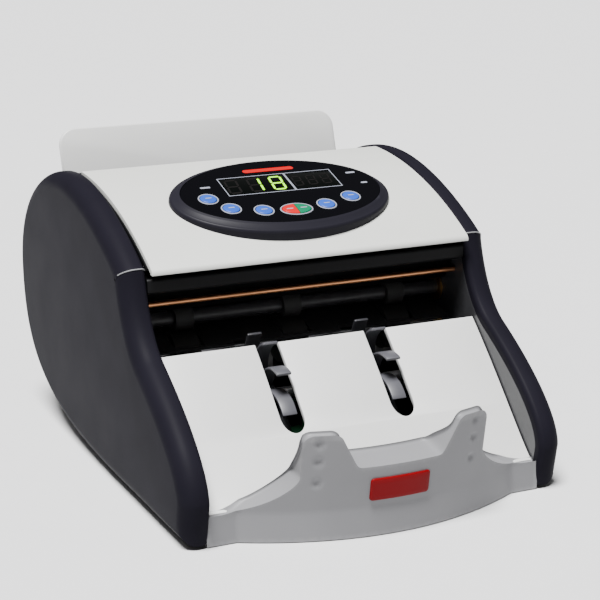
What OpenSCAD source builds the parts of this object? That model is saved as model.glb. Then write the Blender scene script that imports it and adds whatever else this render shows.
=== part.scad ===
// Friction-feed banknote counting machine: sloping hopper at the back, control pod on the
// top panel, stacker bay with two vane wheels at the front.
// Every module works from the front: y = 0 at the middle of the tray lip, z = 0 at the table.

/* [Overall] */
// Clear width between the two side housings
inner_w = 182; // [160:1:230]
// Thickness of each side housing
housing_w = 14.2; // [12:0.1:20]
// Depth from the middle of the tray lip to the rear bulge
body_d = 285; // [275:1:350]
// Height of the crown of the side housings
crown_z = 151; // [149:0.5:175]

/* [Side housings] */
// Wall of the moulded housings
wall = 2.5; // [1.6:0.1:3]
// Radius of the outer edge of a housing
edge_r = 9; // [4:0.5:11]
// Radius of the inner edge of a housing
lip_r = 3; // [1:0.5:4]
// Gap under the housings
ground_gap = 2; // [1:0.5:4]
// Thickness of the steel side frames
frame_t = 1.5; // [1:0.1:2]

/* [Top] */
// Radius of the curve of the top panel, front to back
deck_r = 227; // [210:1:260]
// Thickness of the light top panel
panel_t = 2.5; // [1.5:0.1:3]
// Thickness of the black cover under the panel
cover_t = 2.2; // [1.5:0.1:3]
// Half length of the oval control pod
pod_a = 62.5; // [52:0.5:66]
// Half width of the oval control pod
pod_b = 38.5; // [36:0.5:40]
// Height of the pod above the panel
pod_h = 5; // [4:0.1:8]
// Radius of a round key
key_r = 4.5; // [3.8:0.1:5]
// Travel of a key
key_travel = 0.5; // [0.3:0.1:0.6]

/* [Stacker] */
// Radius of the stacker wheels
vane_r = 33; // [30:0.5:34]
// Width of one stacker wheel
vane_w = 9; // [6:0.5:12]
// Number of vanes on a wheel
vane_n = 10; // [6:1:14]
// Distance of each stacker wheel from the middle
vane_x = 31; // [26:0.5:36]
// Forward lean of the tray fingers in degrees
finger_lean = 10; // [6:1:18]
// Height of the tray fingers above the lip
finger_h = 40.5; // [33:0.5:50]
// Forward bow of the tray lip
lip_bow = 20.9; // [12:0.1:24]
// Height of the top of the lip
lip_z = 14.4; // [12:0.1:18]

/* [Rollers] */
// Radius of every steel shaft
shaft_r = 4; // [3:0.1:4.5]
// Radial clearance of a shaft in its bush
run_gap = 0.05; // [0.02:0.01:0.1]
// Radius of the feed rollers
feed_r = 16; // [13:0.5:17]
// Radius of the pick-up rollers
pick_r = 14; // [12:0.5:15]
// Radius of the transport rollers
drive_r = 12; // [10:0.5:13]
// Radius of the pinch rollers
pinch_r = 7; // [6:0.5:8]
// Radius of the retard rollers
retard_r = 12; // [10:0.5:13]
// Gap between a roller and the one it faces
nip = 0.4; // [0.3:0.1:1]

/* [Hopper] */
// Width of the hopper plate
plate_w = 173; // [150:1:178]
// Thickness of the hopper plate
plate_t = 3; // [2:0.1:4]
// Height of the top of the hopper plate
plate_z = 165.5; // [158:0.5:185]

/* [Hidden] */

fit = 0.3;                       // gap between neighbouring pieces
half_in = inner_w / 2;           // inner face of a housing
half_out = half_in + housing_w;  // outer face of a housing
bay_w = inner_w - 2 * fit;       // width of a piece that fits between the housings
frame_in = wall + lip_r + fit;   // inset of a side frame from the housing's outline
shaft_end = half_in + frame_t + 3;  // plain end of a shaft, past its bush
belt_t = 1.2;
belt_w = 2.6;
pulley_flange = 1.6;             // height of a pulley's flanges
fine = 64;

// Plan of the tray lip, and the tray fingers
lip_half = inner_w * 0.42;       // half width of the bowed part of the lip
finger_x = 32;                   // inner corner of a finger's top
finger_out = 48.5;               // outer side of a finger
finger_in = 23;                  // foot of a finger's inner side
finger_round = 4;
finger_top = finger_h / cos(finger_lean);
finger_corner = [finger_x + finger_round, finger_top - finger_round];
function lip_y(x) = abs(x) < lip_half ? lip_bow * pow(x / lip_half, 2) : lip_bow;

badge_w = 32;
badge_h = 12;
badge_foot = 5;                  // bottom of the badge above the lip
badge_round = 1.5;
badge_t = 1.1;

// Forward reach past the lip, of a point of the tray's wall s up it, and of the whole wall
function reach(x, s, out) = s * sin(finger_lean) - (lip_y(x) - out) * cos(finger_lean);
tip_reach = max(reach(0, badge_foot + badge_h, badge_t), max([for (a = [90 : 5 : 160])
  let (p = finger_corner + finger_round * [cos(a), sin(a)]) reach(p[0], p[1], 0)]));
y_mid = (body_d - tip_reach) / 2;

// Shaft positions, as [distance from the front, height]
note_slope = 16;
exit_nip = [130, 76];
feed_nip = [185, 92];
stacker_at = [92.5, 46];
drive_at = exit_nip - [0, drive_r];
pinch_at = exit_nip + [0, pinch_r + nip];
feed_at = feed_nip + feed_r * [sin(note_slope), -cos(note_slope)];
retard_at = feed_nip + (retard_r + nip) * [-sin(note_slope), cos(note_slope)];
floor_slope = 30;
pick_point = [218, 111];
pick_proud = 1.5;
pick_at = pick_point + (pick_r - pick_proud) * [sin(floor_slope), -cos(floor_slope)];
motor_at = [160, 36];
motor_r = 19;
roller_x = 22;                   // feed, pick-up and retard rollers from the middle
drive_x = 62;                    // outer transport rollers from the middle
rod_at = [[150, 108], [72, 10], [240, 60]];
rod_r = 3;

// Pulley radii
motor_pulley_r = 6;
drive_pulley_r = 9;
feed_pulley_r = 12;
small_pulley_r = 6;
stacker_pulley_r = 18;
pick_pulley_r = 10;
pulley_w = belt_w + 0.6;         // groove of a pulley, between its flanges
flange_t = 0.5;
lane_a = half_in + frame_t + 1.7;               // inner belt lane
lane_b = lane_a + pulley_w + 2 * flange_t + 0.1;  // outer belt lane

// ---- curves ----
function bez(a, b, c, d, t) = a * pow(1 - t, 3) + 3 * b * pow(1 - t, 2) * t
  + 3 * c * (1 - t) * t * t + d * t * t * t;
function run(a, b, c, d, n) = [for (i = [0 : n - 1]) bez(a, b, c, d, i / n)];
function whole(a, b, c, d, n) = [for (i = [0 : n]) bez(a, b, c, d, i / n)];
function unit(v) = v / norm(v);
function left(v) = [-v[1], v[0]];
function arc(c, r, from, to, n) = [for (i = [0 : n]) c + r * [cos(from + (to - from) * i / n),
  sin(from + (to - from) * i / n)]];

// A closed outline moved inwards by d (anticlockwise outlines)
function shrink(p, d) = let (n = len(p)) [for (i = [0 : n - 1])
  let (a = left(unit(p[i] - p[(i + n - 1) % n])), b = left(unit(p[(i + 1) % n] - p[i])),
    m = unit(a + b)) p[i] + m * d / (m * a)];

// A sheet of thickness t on the right-hand side of an open path
function sheet(p, t) = let (n = len(p)) concat(p, [for (k = [0 : n - 1]) let (i = n - 1 - k,
  a = i > 0 ? left(unit(p[i] - p[i - 1])) : left(unit(p[1] - p[0])),
  b = i < n - 1 ? left(unit(p[i + 1] - p[i])) : a, m = unit(a + b)) p[i] - m * t / (m * a)]);

heel = [120, ground_gap];
rear = [body_d, 84];
crown = [197, crown_z];
crease = [100.2, 119.8];
shoulder = [75.5, 78.3];
nose = [16.3, 22.8];
foot_y = 20.5;

// Underside of the machine from the heel to the rear bulge
function underside(n) = run(heel, [body_d - 37, ground_gap], [body_d, 29], rear, n);

// Side view of a housing, anticlockwise from the bottom front corner
side_outline = concat(
  [[foot_y, ground_gap]],
  underside(14),
  run(rear, [body_d, 124], [body_d - 42, crown_z], crown, 12),
  run(crown, crown - [36, 0], [122, crown_z - 17.5], crease, 12),
  run(crease, [97, 103], [88.2, 85.5], shoulder, 7),
  run(shoulder, [48.2, 63.7], [16.3, 41.9], nose, 12),
  [nose]);

// Deck arc that the top panel follows
deck_c = [208.5, 150.7 - deck_r];
panel_back = 204;
panel_front = 95;
function deck_deg(y) = acos((y - deck_c[0]) / deck_r);
function deck_z(y) = deck_c[1] + deck_r * sin(deck_deg(y));

// ---- solids ----
module place() translate([0, -y_mid, 0]) children();

// Extrudes a side view (y, z) across the machine
module across(x0, x1) translate([x0, 0, 0]) rotate([90, 0, 90]) linear_extrude(x1 - x0) children();

// A cylinder along X at p = [y, z]
module bar(p, r, x0, x1) translate([x0, p[0], p[1]]) rotate([0, 90, 0])
  cylinder(h = x1 - x0, r = r, $fn = fine);

// A tube along X
module tube(p, r, bore, x0, x1) difference() {
  bar(p, r, x0, x1);
  bar(p, bore, x0 - 1, x1 + 1);
}

module box(lo, hi) translate(lo) cube(hi - lo);

// A rectangle with round corners and half sizes a, b
module rounded(a, b, r) polygon([for (q = [0 : 3]) each arc([(q == 0 || q == 3 ? 1 : -1) * (a - r),
  (q < 2 ? 1 : -1) * (b - r)], r, 90 * q, 90 * q + 90, 4)]);

// Joins rings with equal numbers of points into one closed body
module loft(rings) {
  m = len(rings[0]);
  k = len(rings);
  polyhedron(points = [for (r = rings) each r], faces = concat(
    [[for (i = [0 : m - 1]) i]],
    [for (j = [0 : k - 2], i = [0 : m - 1]) [j * m + i, (j + 1) * m + i,
      (j + 1) * m + (i + 1) % m, j * m + (i + 1) % m]],
    [[for (i = [0 : m - 1]) k * m - 1 - i]]), convexity = 6);
}

// ---- casing ----
function ring_at(x, inset) = [for (p = shrink(side_outline, inset)) [x, p[0], p[1]]];

boss_at = [[48, 15], [128, 116], [200, 22], [250, 108]];  // screw bosses, as [y, z]
boss_r = 3.5;
screw_r = 1.5;

// A shell open towards the middle: up the cavity's wall, round the inner edge, over the outer edge
module housing_body() difference() {
  union() {
    loft(concat(
      [ring_at(half_out - wall, wall + lip_r), ring_at(half_in, wall + lip_r)],
      [for (a = [0 : 30 : 60]) ring_at(half_in + lip_r * (1 - cos(a)), lip_r * (1 - sin(a)))],
      [for (a = [0 : 15 : 90]) ring_at(half_out - edge_r * (1 - sin(a)), edge_r * (1 - cos(a)))]));
    for (p = boss_at) bar(p, boss_r, half_in + frame_t + 0.1, half_out - wall + 0.5);
  }
  for (p = boss_at) bar(p, screw_r, half_in, half_in + frame_t + 6);
}

module right_housing() place() color([0.15, 0.145, 0.18]) housing_body();
module left_housing() place() color([0.15, 0.145, 0.18]) mirror([1, 0, 0]) housing_body();

bush_at = [stacker_at, drive_at, pinch_at, feed_at, pick_at];
bush_r = shaft_r + 2.5;
motor_hole_r = 7;

module side_frame(motor_side) difference() {
  across(half_in, half_in + frame_t) polygon(shrink(side_outline, frame_in));
  for (p = bush_at) bar(p, bush_r + 0.05, half_in - 1, half_in + frame_t + 1);
  for (p = boss_at) bar(p, screw_r + 0.2, half_in - 1, half_in + frame_t + 1);
  if (motor_side) bar(motor_at, motor_hole_r, half_in - 1, half_in + frame_t + 1);
}

module right_side_frame() place() color([0.13, 0.13, 0.14]) side_frame(false);
module left_side_frame() place() color([0.13, 0.13, 0.14]) mirror([1, 0, 0]) side_frame(true);

pan_t = 2.5;
pan_front = 32;
pan_rear = 244;
vent_w = 4;
pan_vent_y = [140, 185];
pan_vent_x = [-70 : 20 : 70];

module base_pan() place() color([0.12, 0.12, 0.13]) difference() {
  pan_path = concat([[pan_front, ground_gap + pan_t]],
    [for (p = underside(28)) if (p[0] < pan_rear) [p[0], p[1] + pan_t + 0.3]]);
  across(-bay_w / 2, bay_w / 2) polygon(sheet(pan_path, pan_t));
  for (x = pan_vent_x) box([x, pan_vent_y[0], 0], [x + vent_w, pan_vent_y[1], 12]);
}

foot_r = 8;
foot_x = 70;
front_foot_y = 48;
rear_foot_y = 205;
rear_foot_h = 16;
module feet() place() color([0.08, 0.08, 0.08]) for (s = [-1, 1]) {
  translate([s * foot_x, front_foot_y, 0]) cylinder(h = ground_gap, r = foot_r, $fn = fine);
  difference() {
    translate([s * foot_x, rear_foot_y, 0]) cylinder(h = rear_foot_h, r1 = foot_r, r2 = foot_r + 1, $fn = fine);
    across(-inner_w, inner_w) polygon(concat([for (p = underside(28)) p + [0, 0.2]],
      [[body_d, crown_z], [0, crown_z], [0, heel[1] + 0.2]]));
  }
}

// Black cover: a skin under the panel and the upright wall behind its rear edge
hopper_wall_z = [138, 149.5];
module top_cover() place() color([0.07, 0.07, 0.08]) difference() {
  skin = deck_r - panel_t - 0.1;
  step_z = deck_z(panel_back) - panel_t - 0.3;
  union() {
    across(-bay_w / 2, bay_w / 2) polygon(concat(
      arc(deck_c, skin, deck_deg(panel_back), deck_deg(panel_front + 4), 24),
      arc(deck_c, skin - cover_t, deck_deg(panel_front + 4), deck_deg(panel_back), 24)));
    box([-bay_w / 2, panel_back + 0.3, hopper_wall_z[0]], [bay_w / 2, panel_back + 2.5, hopper_wall_z[1]]);
    box([-bay_w / 2, panel_back - 0.5, step_z - 4.5], [bay_w / 2, panel_back + 0.5, step_z]);
  }
  pod() linear_extrude(40, center = true) oval(pod_a - 2.6, pod_b - 2.6);
}

roll_r = panel_t + 0.5;           // radius of the panel's rolled front edge
module top_panel() place() color([0.86, 0.86, 0.83]) difference() {
  front_deg = deck_deg(panel_front);
  roll_c = deck_c + (deck_r - roll_r) * [cos(front_deg), sin(front_deg)];
  path = concat(
    arc(deck_c, deck_r, deck_deg(panel_back), front_deg, 32),
    arc(roll_c, roll_r, front_deg + 12, 190, 8));
  across(-bay_w / 2, bay_w / 2) polygon(concat(path,
    arc(roll_c, roll_r - panel_t, 190, front_deg + 12, 8),
    arc(deck_c, deck_r - panel_t, front_deg, deck_deg(panel_back), 32)));
  pod() linear_extrude(40, center = true) oval(pod_a - 3, pod_b - 3);
}

crossbar_at = [104.2, 110];
module front_crossbar() place() color([0.05, 0.05, 0.06]) across(-bay_w / 2, bay_w / 2) {
  translate(crossbar_at) rounded(4.8, 4, 1.6);
  polygon(sheet([[121, 92], [108.8, 111]], -1.6));
}

static_r = 1.6;
static_at = [110, 98];
module static_bar() place() color([0.55, 0.33, 0.2]) bar(static_at, static_r, -half_in + 0.2, half_in - 0.2);

// ---- control pod ----
pod_y = 139;
module pod() translate([0, pod_y, deck_z(pod_y)]) rotate([deck_deg(pod_y) - 90, 0, 0]) children();
function oval_points(a, b, n = 72) = [for (i = [0 : n - 1]) [a * cos(i * 360 / n), b * sin(i * 360 / n)]];
module oval(a, b) polygon(oval_points(a, b));
function oval_ring(a, b, z) = [for (p = oval_points(a, b)) [p[0], p[1], z]];

rim = 5.5;       // width of the bezel's sloping flank
ledge = 0.7;     // seat of the fascia inside the bezel
skirt = 0.5;     // how far a key's skirt stands out under the fascia
fascia_t = 1.4;
board_z = -9.2;
board_t = 1.6;
face_a = pod_a - rim - ledge;    // half length of the opening inside the bezel
face_b = pod_b - rim - ledge;    // half width of it

// The face's layout, in shares of its half length and half width
function on_face(p) = [p[0] * face_a, p[1] * face_b];
window_lo = on_face([-0.542, -0.028]);
window_hi = on_face([0.639, 0.567]);
divider_x = 0.151 * face_a;
key_at = [for (p = [[-0.762, -0.062], [-0.613, -0.427], [-0.318, -0.576], [0.327, -0.567], [0.625, -0.393]])
  on_face(p)];
split_y = -0.635 * face_b;
split_a = 0.146 * face_a;
split_b = 5;

module control_bezel() place() color([0.235, 0.225, 0.265]) difference() {
  pod() loft([oval_ring(pod_a, pod_b, -6), oval_ring(pod_a, pod_b, pod_h - 3.4),
    oval_ring(pod_a - 1.2, pod_b - 1.2, pod_h - 1.4), oval_ring(pod_a - rim + 1, pod_b - rim + 1, pod_h),
    oval_ring(pod_a - rim, pod_b - rim, pod_h)]);
  pod() translate([0, 0, pod_h - fascia_t - 0.2]) linear_extrude(20) oval(pod_a - rim, pod_b - rim);
  pod() translate([0, 0, -20]) linear_extrude(40) oval(pod_a - rim - ledge, pod_b - rim - ledge);
  difference() {
    across(-inner_w / 2, inner_w / 2) polygon(concat([[deck_c[0], deck_c[1]]],
      arc(deck_c, deck_r + 0.05, deck_deg(190), deck_deg(panel_front), 32)));
    pod() translate([0, 0, -20]) linear_extrude(40) oval(pod_a - 3.3, pod_b - 3.3);
  }
}

module key_holes(grow) {
  for (p = key_at) translate([p[0], p[1], -20]) cylinder(h = 40, r = key_r + grow, $fn = fine);
  translate([0, split_y, -20]) linear_extrude(40) oval(split_a + grow, split_b + grow);
}

module key_fascia() place() color([0.03, 0.03, 0.035]) pod() difference() {
  translate([0, 0, pod_h - fascia_t - 0.1]) linear_extrude(fascia_t) oval(pod_a - rim - 0.1, pod_b - rim - 0.1);
  key_holes(fit);
  box([window_lo[0], window_lo[1], -20], [window_hi[0], window_hi[1], 20]);
}

module display_window() place() color([0.05, 0.07, 0.06]) pod()
  box([window_lo[0] + 0.1, window_lo[1] + 0.1, pod_h - fascia_t - 0.1],
    [window_hi[0] - 0.1, window_hi[1] - 0.1, pod_h - 0.2]);

module led_block(x0, x1) box([x0, window_lo[1] + 1, board_z + board_t + 0.05],
  [x1, window_hi[1] - 1, pod_h - fascia_t - 0.4]);
module count_display() place() color([0.2, 0.2, 0.18]) pod() led_block(window_lo[0] + 0.6, divider_x - 0.6);
module batch_display() place() color([0.2, 0.2, 0.18]) pod() led_block(divider_x + 0.6, window_hi[0] - 0.6);

module display_board() place() color([0.1, 0.35, 0.18]) pod()
  box([4.3 - face_a, 6.8 - face_b, board_z], [face_a - 4.3, face_b - 10.3, board_z + board_t]);

key_foot = 0.4;                  // underside of a key at rest
switch_foot = board_z + board_t + 0.05;
switch_at = concat(key_at, [[-split_a / 2, split_y], [split_a / 2, split_y]]);
module key_switches() place() color([0.2, 0.2, 0.2]) pod()
  for (p = switch_at) translate([p[0], p[1], switch_foot]) {
    translate([-3, -3, 0]) cube([6, 6, 3.5]);
    cylinder(h = key_foot - key_travel - 0.1 - switch_foot, r = 1.7, $fn = fine);
  }

cap_top = pod_h + 0.7;
module round_key(i) place() color([0.35, 0.49, 0.78]) pod() translate([key_at[i][0], key_at[i][1], 0])
  rotate_extrude($fn = fine) polygon([[0, key_foot], [key_r + skirt, key_foot], [key_r + skirt, key_foot + 1],
    [key_r, key_foot + 1], [key_r, pod_h], [key_r - 0.7, cap_top - 0.1], [0, cap_top]]);
module key_1() round_key(0);
module key_2() round_key(1);
module key_3() round_key(2);
module key_4() round_key(3);
module key_5() round_key(4);

module half_key(side) pod() translate([0, split_y, 0]) difference() {
  union() {
    translate([0, 0, key_foot]) linear_extrude(1) oval(split_a + skirt, split_b + skirt);
    loft([oval_ring(split_a, split_b, key_foot + 0.1), oval_ring(split_a, split_b, pod_h),
      oval_ring(split_a - 0.7, split_b - 0.7, cap_top)]);
  }
  mirror([side > 0 ? 0 : 1, 0, 0]) box([-20, -20, -10], [0.2, 20, 20]);
}
module stop_key() place() color([0.86, 0.24, 0.24]) half_key(-1);
module start_key() place() color([0.1, 0.6, 0.43]) half_key(1);

// ---- stacker bay ----
function lip_front(back, x0, n) = [for (i = [0 : n]) let (x = -x0 + 2 * x0 * i / n) [x, lip_y(x) + back]];
function lip_plan(back, x0, rear_y) = concat(lip_front(back, x0, 40), [[x0, rear_y], [-x0, rear_y]]);

tray_rear = 31;
wall_depth = 19;
notch_h = 22;
function mirrored(p) = concat(p, [for (i = [len(p) - 1 : -1 : 0]) [-p[i][0], p[i][1]]]);

// Thickness of the tray wall at x: deep at the fingers, thin at its ends
function wall_back(x) = wall_depth
  - (wall_depth - 5) * pow(max(0, abs(x) - finger_out) / (half_in - finger_out), 0.7);

sweep_end = min(finger_out + 34, half_in - 2);

// Front view of the tray wall: level between the fingers, sweeping down to the lip outside them
wall_face = mirrored(concat(
  [[0, notch_h]],
  whole([finger_in - 4, notch_h], [finger_in, notch_h], [finger_in + 1, notch_h], [finger_in + 3, notch_h + 5],
    5),
  arc(finger_corner, finger_round, 160, 90, 5),
  arc([finger_out - finger_round, finger_corner[1]], finger_round, 90, 0, 5),
  whole([finger_out, 15], [finger_out + 12, 10], [finger_out + 16, 2], [sweep_end, 0], 8),
  [[sweep_end, -6]]));

module stacker_tray() place() color([0.66, 0.66, 0.67]) {
  difference() {
    translate([0, 0, ground_gap]) linear_extrude(lip_z - ground_gap) polygon(lip_plan(0, bay_w / 2, tray_rear));
    translate([0, 0, ground_gap - 1]) linear_extrude(lip_z - ground_gap - 1.5)
      polygon(lip_plan(wall, bay_w / 2 - wall, tray_rear - wall));
  }
  translate([0, 0, lip_z]) rotate([finger_lean, 0, 0]) intersection() {
    translate([0, 0, -3]) linear_extrude(80) polygon(concat(lip_front(0, half_in - 1, 40),
      [for (i = [0 : 40]) let (x = (half_in - 1) * (1 - i / 20)) [x, lip_y(x) + wall_back(x)]]));
    rotate([90, 0, 0]) translate([0, 0, -60]) linear_extrude(120) polygon(wall_face);
    across(-half_in, half_in) polygon([[-10, -1.5], [24, -1.5], [24, 1.5], [36, 11], [24, 20], [11, 60], [-10, 60]]);
  }
}

module tray_badge() place() color([0.68, 0.08, 0.12]) translate([0, 0, lip_z]) rotate([finger_lean, 0, 0])
  intersection() {
    linear_extrude(30) polygon(concat(lip_front(-badge_t, badge_w, 24),
      [for (p = lip_front(-0.02, badge_w, 24)) [-p[0], p[1]]]));
    rotate([90, 0, 0]) translate([0, badge_foot + badge_h / 2, -20]) linear_extrude(40)
      rounded(badge_w / 2, badge_h / 2, badge_round);
  }

plate_path = whole([24.5, lip_z + 1], [36, 24], [58, 50], [88, 76.4], 18);
module stacker_plate() place() color([0.84, 0.84, 0.82]) difference() {
  across(-bay_w / 2, bay_w / 2) polygon(sheet(plate_path, 2.4));
  for (s = [-1, 1]) box([s * vane_x - vane_slot, 50, 30], [s * vane_x + vane_slot, 100, 90]);
  box([-bay_w, 0, -1], [bay_w, tray_rear, lip_z + 0.05]);
}

hub_r = 9;
vane_t = 1.5;
// One vane: a curved blade from the hub to the rim
vane_path = whole([hub_r - 2, 0.7], [18, 1], [27, 8], [vane_r * cos(36), vane_r * sin(36)], 8);
module stacker_wheel(x) color([0.24, 0.24, 0.26]) translate([x, stacker_at[0], stacker_at[1]]) {
  difference() {
    union() {
      bar([0, 0], hub_r, -vane_w / 2, vane_w / 2);
      for (i = [0 : vane_n - 1]) rotate([i * 360 / vane_n, 0, 0])
        across(-vane_w / 2 + 0.5, vane_w / 2 - 0.5) polygon(sheet(vane_path, vane_t));
    }
    bar([0, 0], shaft_r, -vane_w, vane_w);
  }
}
module left_stacker_wheel() place() stacker_wheel(-vane_x);
module right_stacker_wheel() place() stacker_wheel(vane_x);

module shaft(p, left_x, right_x) color([0.75, 0.75, 0.77]) bar(p, shaft_r, -left_x, right_x);
module stacker_shaft() place() shaft(stacker_at, shaft_end, lane_a + pulley_w);
module transport_shaft() place() shaft(drive_at, lane_a + pulley_w, lane_a + pulley_w);
module pinch_shaft() place() shaft(pinch_at, shaft_end, shaft_end);
module feed_shaft() place() shaft(feed_at, lane_b + pulley_w, lane_a + pulley_w);
module pickup_shaft() place() shaft(pick_at, shaft_end, lane_a + pulley_w);

// A row of rubber rollers on one shaft
module rollers(p, r, w, xs, tint) color(tint) for (x = xs) tube(p, r, shaft_r, x - w / 2, x + w / 2);
module transport_rollers() place() rollers(drive_at, drive_r, 14, [-drive_x, 0, drive_x], [0.1, 0.1, 0.1]);
module pinch_rollers() place() rollers(pinch_at, pinch_r, 10, [-drive_x, 0, drive_x], [0.85, 0.85, 0.8]);
module feed_rollers() place() rollers(feed_at, feed_r, 18, [-roller_x, roller_x], [0.1, 0.1, 0.1]);
module pickup_rollers() place() rollers(pick_at, pick_r, 14, [-roller_x, roller_x], [0.1, 0.1, 0.1]);

// ---- drive ----
module pulley(p, r, bore, x0) color([0.9, 0.9, 0.86]) difference() {
  union() {
    bar(p, r, x0, x0 + pulley_w);
    bar(p, r + pulley_flange, x0 - flange_t, x0);
    bar(p, r + pulley_flange, x0 + pulley_w, x0 + pulley_w + flange_t);
  }
  bar(p, bore, x0 - 2, x0 + belt_w + 3);
}
module on_left() mirror([1, 0, 0]) children();

module stacker_pulley() place() pulley(stacker_at, stacker_pulley_r, shaft_r, lane_a);
module transport_pulleys() place() {
  pulley(drive_at, small_pulley_r, shaft_r, lane_a);
  on_left() pulley(drive_at, drive_pulley_r, shaft_r, lane_a);
}
module feed_pulleys() place() {
  pulley(feed_at, pick_pulley_r, shaft_r, lane_a);
  on_left() pulley(feed_at, feed_pulley_r, shaft_r, lane_b);
}
module pickup_pulley() place() pulley(pick_at, pick_pulley_r, shaft_r, lane_a);

motor_shaft_r = 2.5;
motor_l = 54;
module drive_motor() place() color([0.62, 0.63, 0.65]) on_left() {
  difference() {
    union() {
      bar(motor_at, motor_r, half_in - 4 - motor_l, half_in - 4);
      bar(motor_at, motor_r - 7, half_in - 4.1, half_in - 0.2);
      bar(motor_at, motor_r - 8, half_in - 7 - motor_l, half_in - 3.9 - motor_l);
    }
    bar(motor_at, motor_shaft_r + 0.05, half_in - 30, half_in + 1);
  }
}
module motor_pulley() place() color([0.75, 0.75, 0.77]) on_left() {
  bar(motor_at, motor_shaft_r, half_in - 29, lane_b + pulley_w);
  pulley(motor_at, motor_pulley_r, motor_shaft_r, lane_a);
  pulley(motor_at, motor_pulley_r, motor_shaft_r, lane_b);
}

// A flat belt round two pulleys
module belt(p, rp, q, rq, x0) across(x0 + 0.3, x0 + 0.3 + belt_w) difference() {
  hull() {
    translate(p) circle(r = rp + fit + belt_t, $fn = 48);
    translate(q) circle(r = rq + fit + belt_t, $fn = 48);
  }
  hull() {
    translate(p) circle(r = rp + fit, $fn = 48);
    translate(q) circle(r = rq + fit, $fn = 48);
  }
}
module drive_belts() place() color([0.07, 0.07, 0.07]) {
  on_left() belt(motor_at, motor_pulley_r, drive_at, drive_pulley_r, lane_a);
  on_left() belt(motor_at, motor_pulley_r, feed_at, feed_pulley_r, lane_b);
  belt(drive_at, small_pulley_r, stacker_at, stacker_pulley_r, lane_a);
  belt(feed_at, pick_pulley_r, pick_at, pick_pulley_r, lane_a);
}

module shaft_bushes() place() color([0.72, 0.55, 0.3]) for (s = [0, 1]) mirror([s, 0, 0]) for (p = bush_at)
  difference() {
    union() {
      bar(p, bush_r, half_in - 1.2, half_in + frame_t + 1);
      bar(p, bush_r + 1.2, half_in - 1.2, half_in - 0.1);
    }
    bar(p, shaft_r + run_gap, half_in - 3, half_in + frame_t + 3);
  }

// ---- separation and note path ----
bracket_w = 34;                  // half width of the bracket
cheek_t = 2;
bridge_t = 2.5;
bridge_z = retard_at[1] + retard_r + 2;
pin_r = 3;
module retard_bracket() place() color([0.5, 0.5, 0.52]) {
  box([-bracket_w, retard_at[0] - 9, bridge_z], [bracket_w, retard_at[0] + 9, bridge_z + bridge_t]);
  for (x = [-bracket_w, -7, 5, bracket_w - cheek_t]) difference() {
    box([x, retard_at[0] - 6, retard_at[1] - 5], [x + cheek_t, retard_at[0] + 6, bridge_z + 0.1]);
    bar(retard_at, pin_r, x - 1, x + 3);
  }
  for (s = [-1, 1]) bar(retard_at, pin_r - run_gap, s * roller_x - 14, s * roller_x + 14);
}
module retard_rollers() place() color([0.45, 0.25, 0.2])
  for (s = [-1, 1]) tube(retard_at, retard_r, pin_r, s * roller_x - 6, s * roller_x + 6);

knob_r = 8;
knob_z = bridge_z + bridge_t + 0.4;
module gap_knob() place() color([0.1, 0.1, 0.1]) translate([0, retard_at[0], knob_z]) difference() {
  cylinder(h = 9, r = knob_r, $fn = fine);
  for (i = [0 : 11]) rotate(i * 30) translate([knob_r + 0.6, 0, -1]) cylinder(h = 11, r = 1.2, $fn = 24);
}

// Unit vectors along the note path and across it
note_dir = [cos(note_slope), sin(note_slope)];
note_up = left(note_dir);
guide_gap = 1.5;
vane_slot = vane_w / 2 + 2;      // half width of a slot that a wheel's vanes pass through
wheel_reach = stacker_at[0] + vane_r * 0.8;
module note_guides() place() color([0.3, 0.3, 0.32]) {
  difference() {
    across(-bay_w / 2, bay_w / 2) polygon(sheet([exit_nip - 16 * note_dir - guide_gap * note_up,
      exit_nip + 45 * note_dir - guide_gap * note_up], 1.5));
    for (x = [-drive_x, 0, drive_x]) box([x - 8.5, exit_nip[0] - 13, 60], [x + 8.5, exit_nip[0] + 13, 90]);
    for (s = [-1, 1]) box([s * vane_x - vane_slot, 90, 50], [s * vane_x + vane_slot, wheel_reach, 90]);
  }
  across(-bay_w / 2, bay_w / 2) polygon(sheet([exit_nip + 40 * note_dir + (guide_gap + 1.5) * note_up,
    exit_nip + 10 * note_dir + (guide_gap + 1.5) * note_up], 1.5));
  across(-bay_w / 2, bay_w / 2) polygon(sheet([[203.2, 141], [196, 108]], 2));
}

// ---- hopper ----
plate_lean = 18;
plate_foot = 120;
plate_top = [257.1, plate_z];
corner_r = 10;
plate_l = (plate_z - plate_foot) / cos(plate_lean);
module hopper_plate() place() color([0.91, 0.91, 0.9])
  translate([0, plate_top[0], plate_top[1]]) rotate([90 - plate_lean, 0, 0]) mirror([0, 0, 1])
    linear_extrude(plate_t) polygon(concat(
      arc([plate_w / 2 - corner_r, -corner_r], corner_r, 0, 90, 8),
      arc([-plate_w / 2 + corner_r, -corner_r], corner_r, 90, 180, 8),
      [[-plate_w / 2, -plate_l], [plate_w / 2, -plate_l]]));

floor_end = plate_top[0] - (plate_z - plate_foot) * tan(plate_lean);
function floor_z(y) = pick_point[1] + (y - pick_point[0]) * tan(floor_slope);
module hopper_floor() place() color([0.14, 0.14, 0.15]) difference() {
  across(-bay_w / 2, bay_w / 2) polygon(sheet([[floor_end - 1.2, floor_z(floor_end - 1.2)],
    [feed_at[0] + 9, floor_z(feed_at[0] + 9)]], -2));
  for (s = [-1, 1]) box([s * roller_x - 11, 100, 80], [s * roller_x + 11, feed_at[0] + 16.5, 112]);
  for (s = [-1, 1]) box([s * roller_x - 8.5, pick_at[0] - pick_r - 2, 80],
    [s * roller_x + 8.5, pick_at[0] + pick_r - 1, 130]);
}

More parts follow.
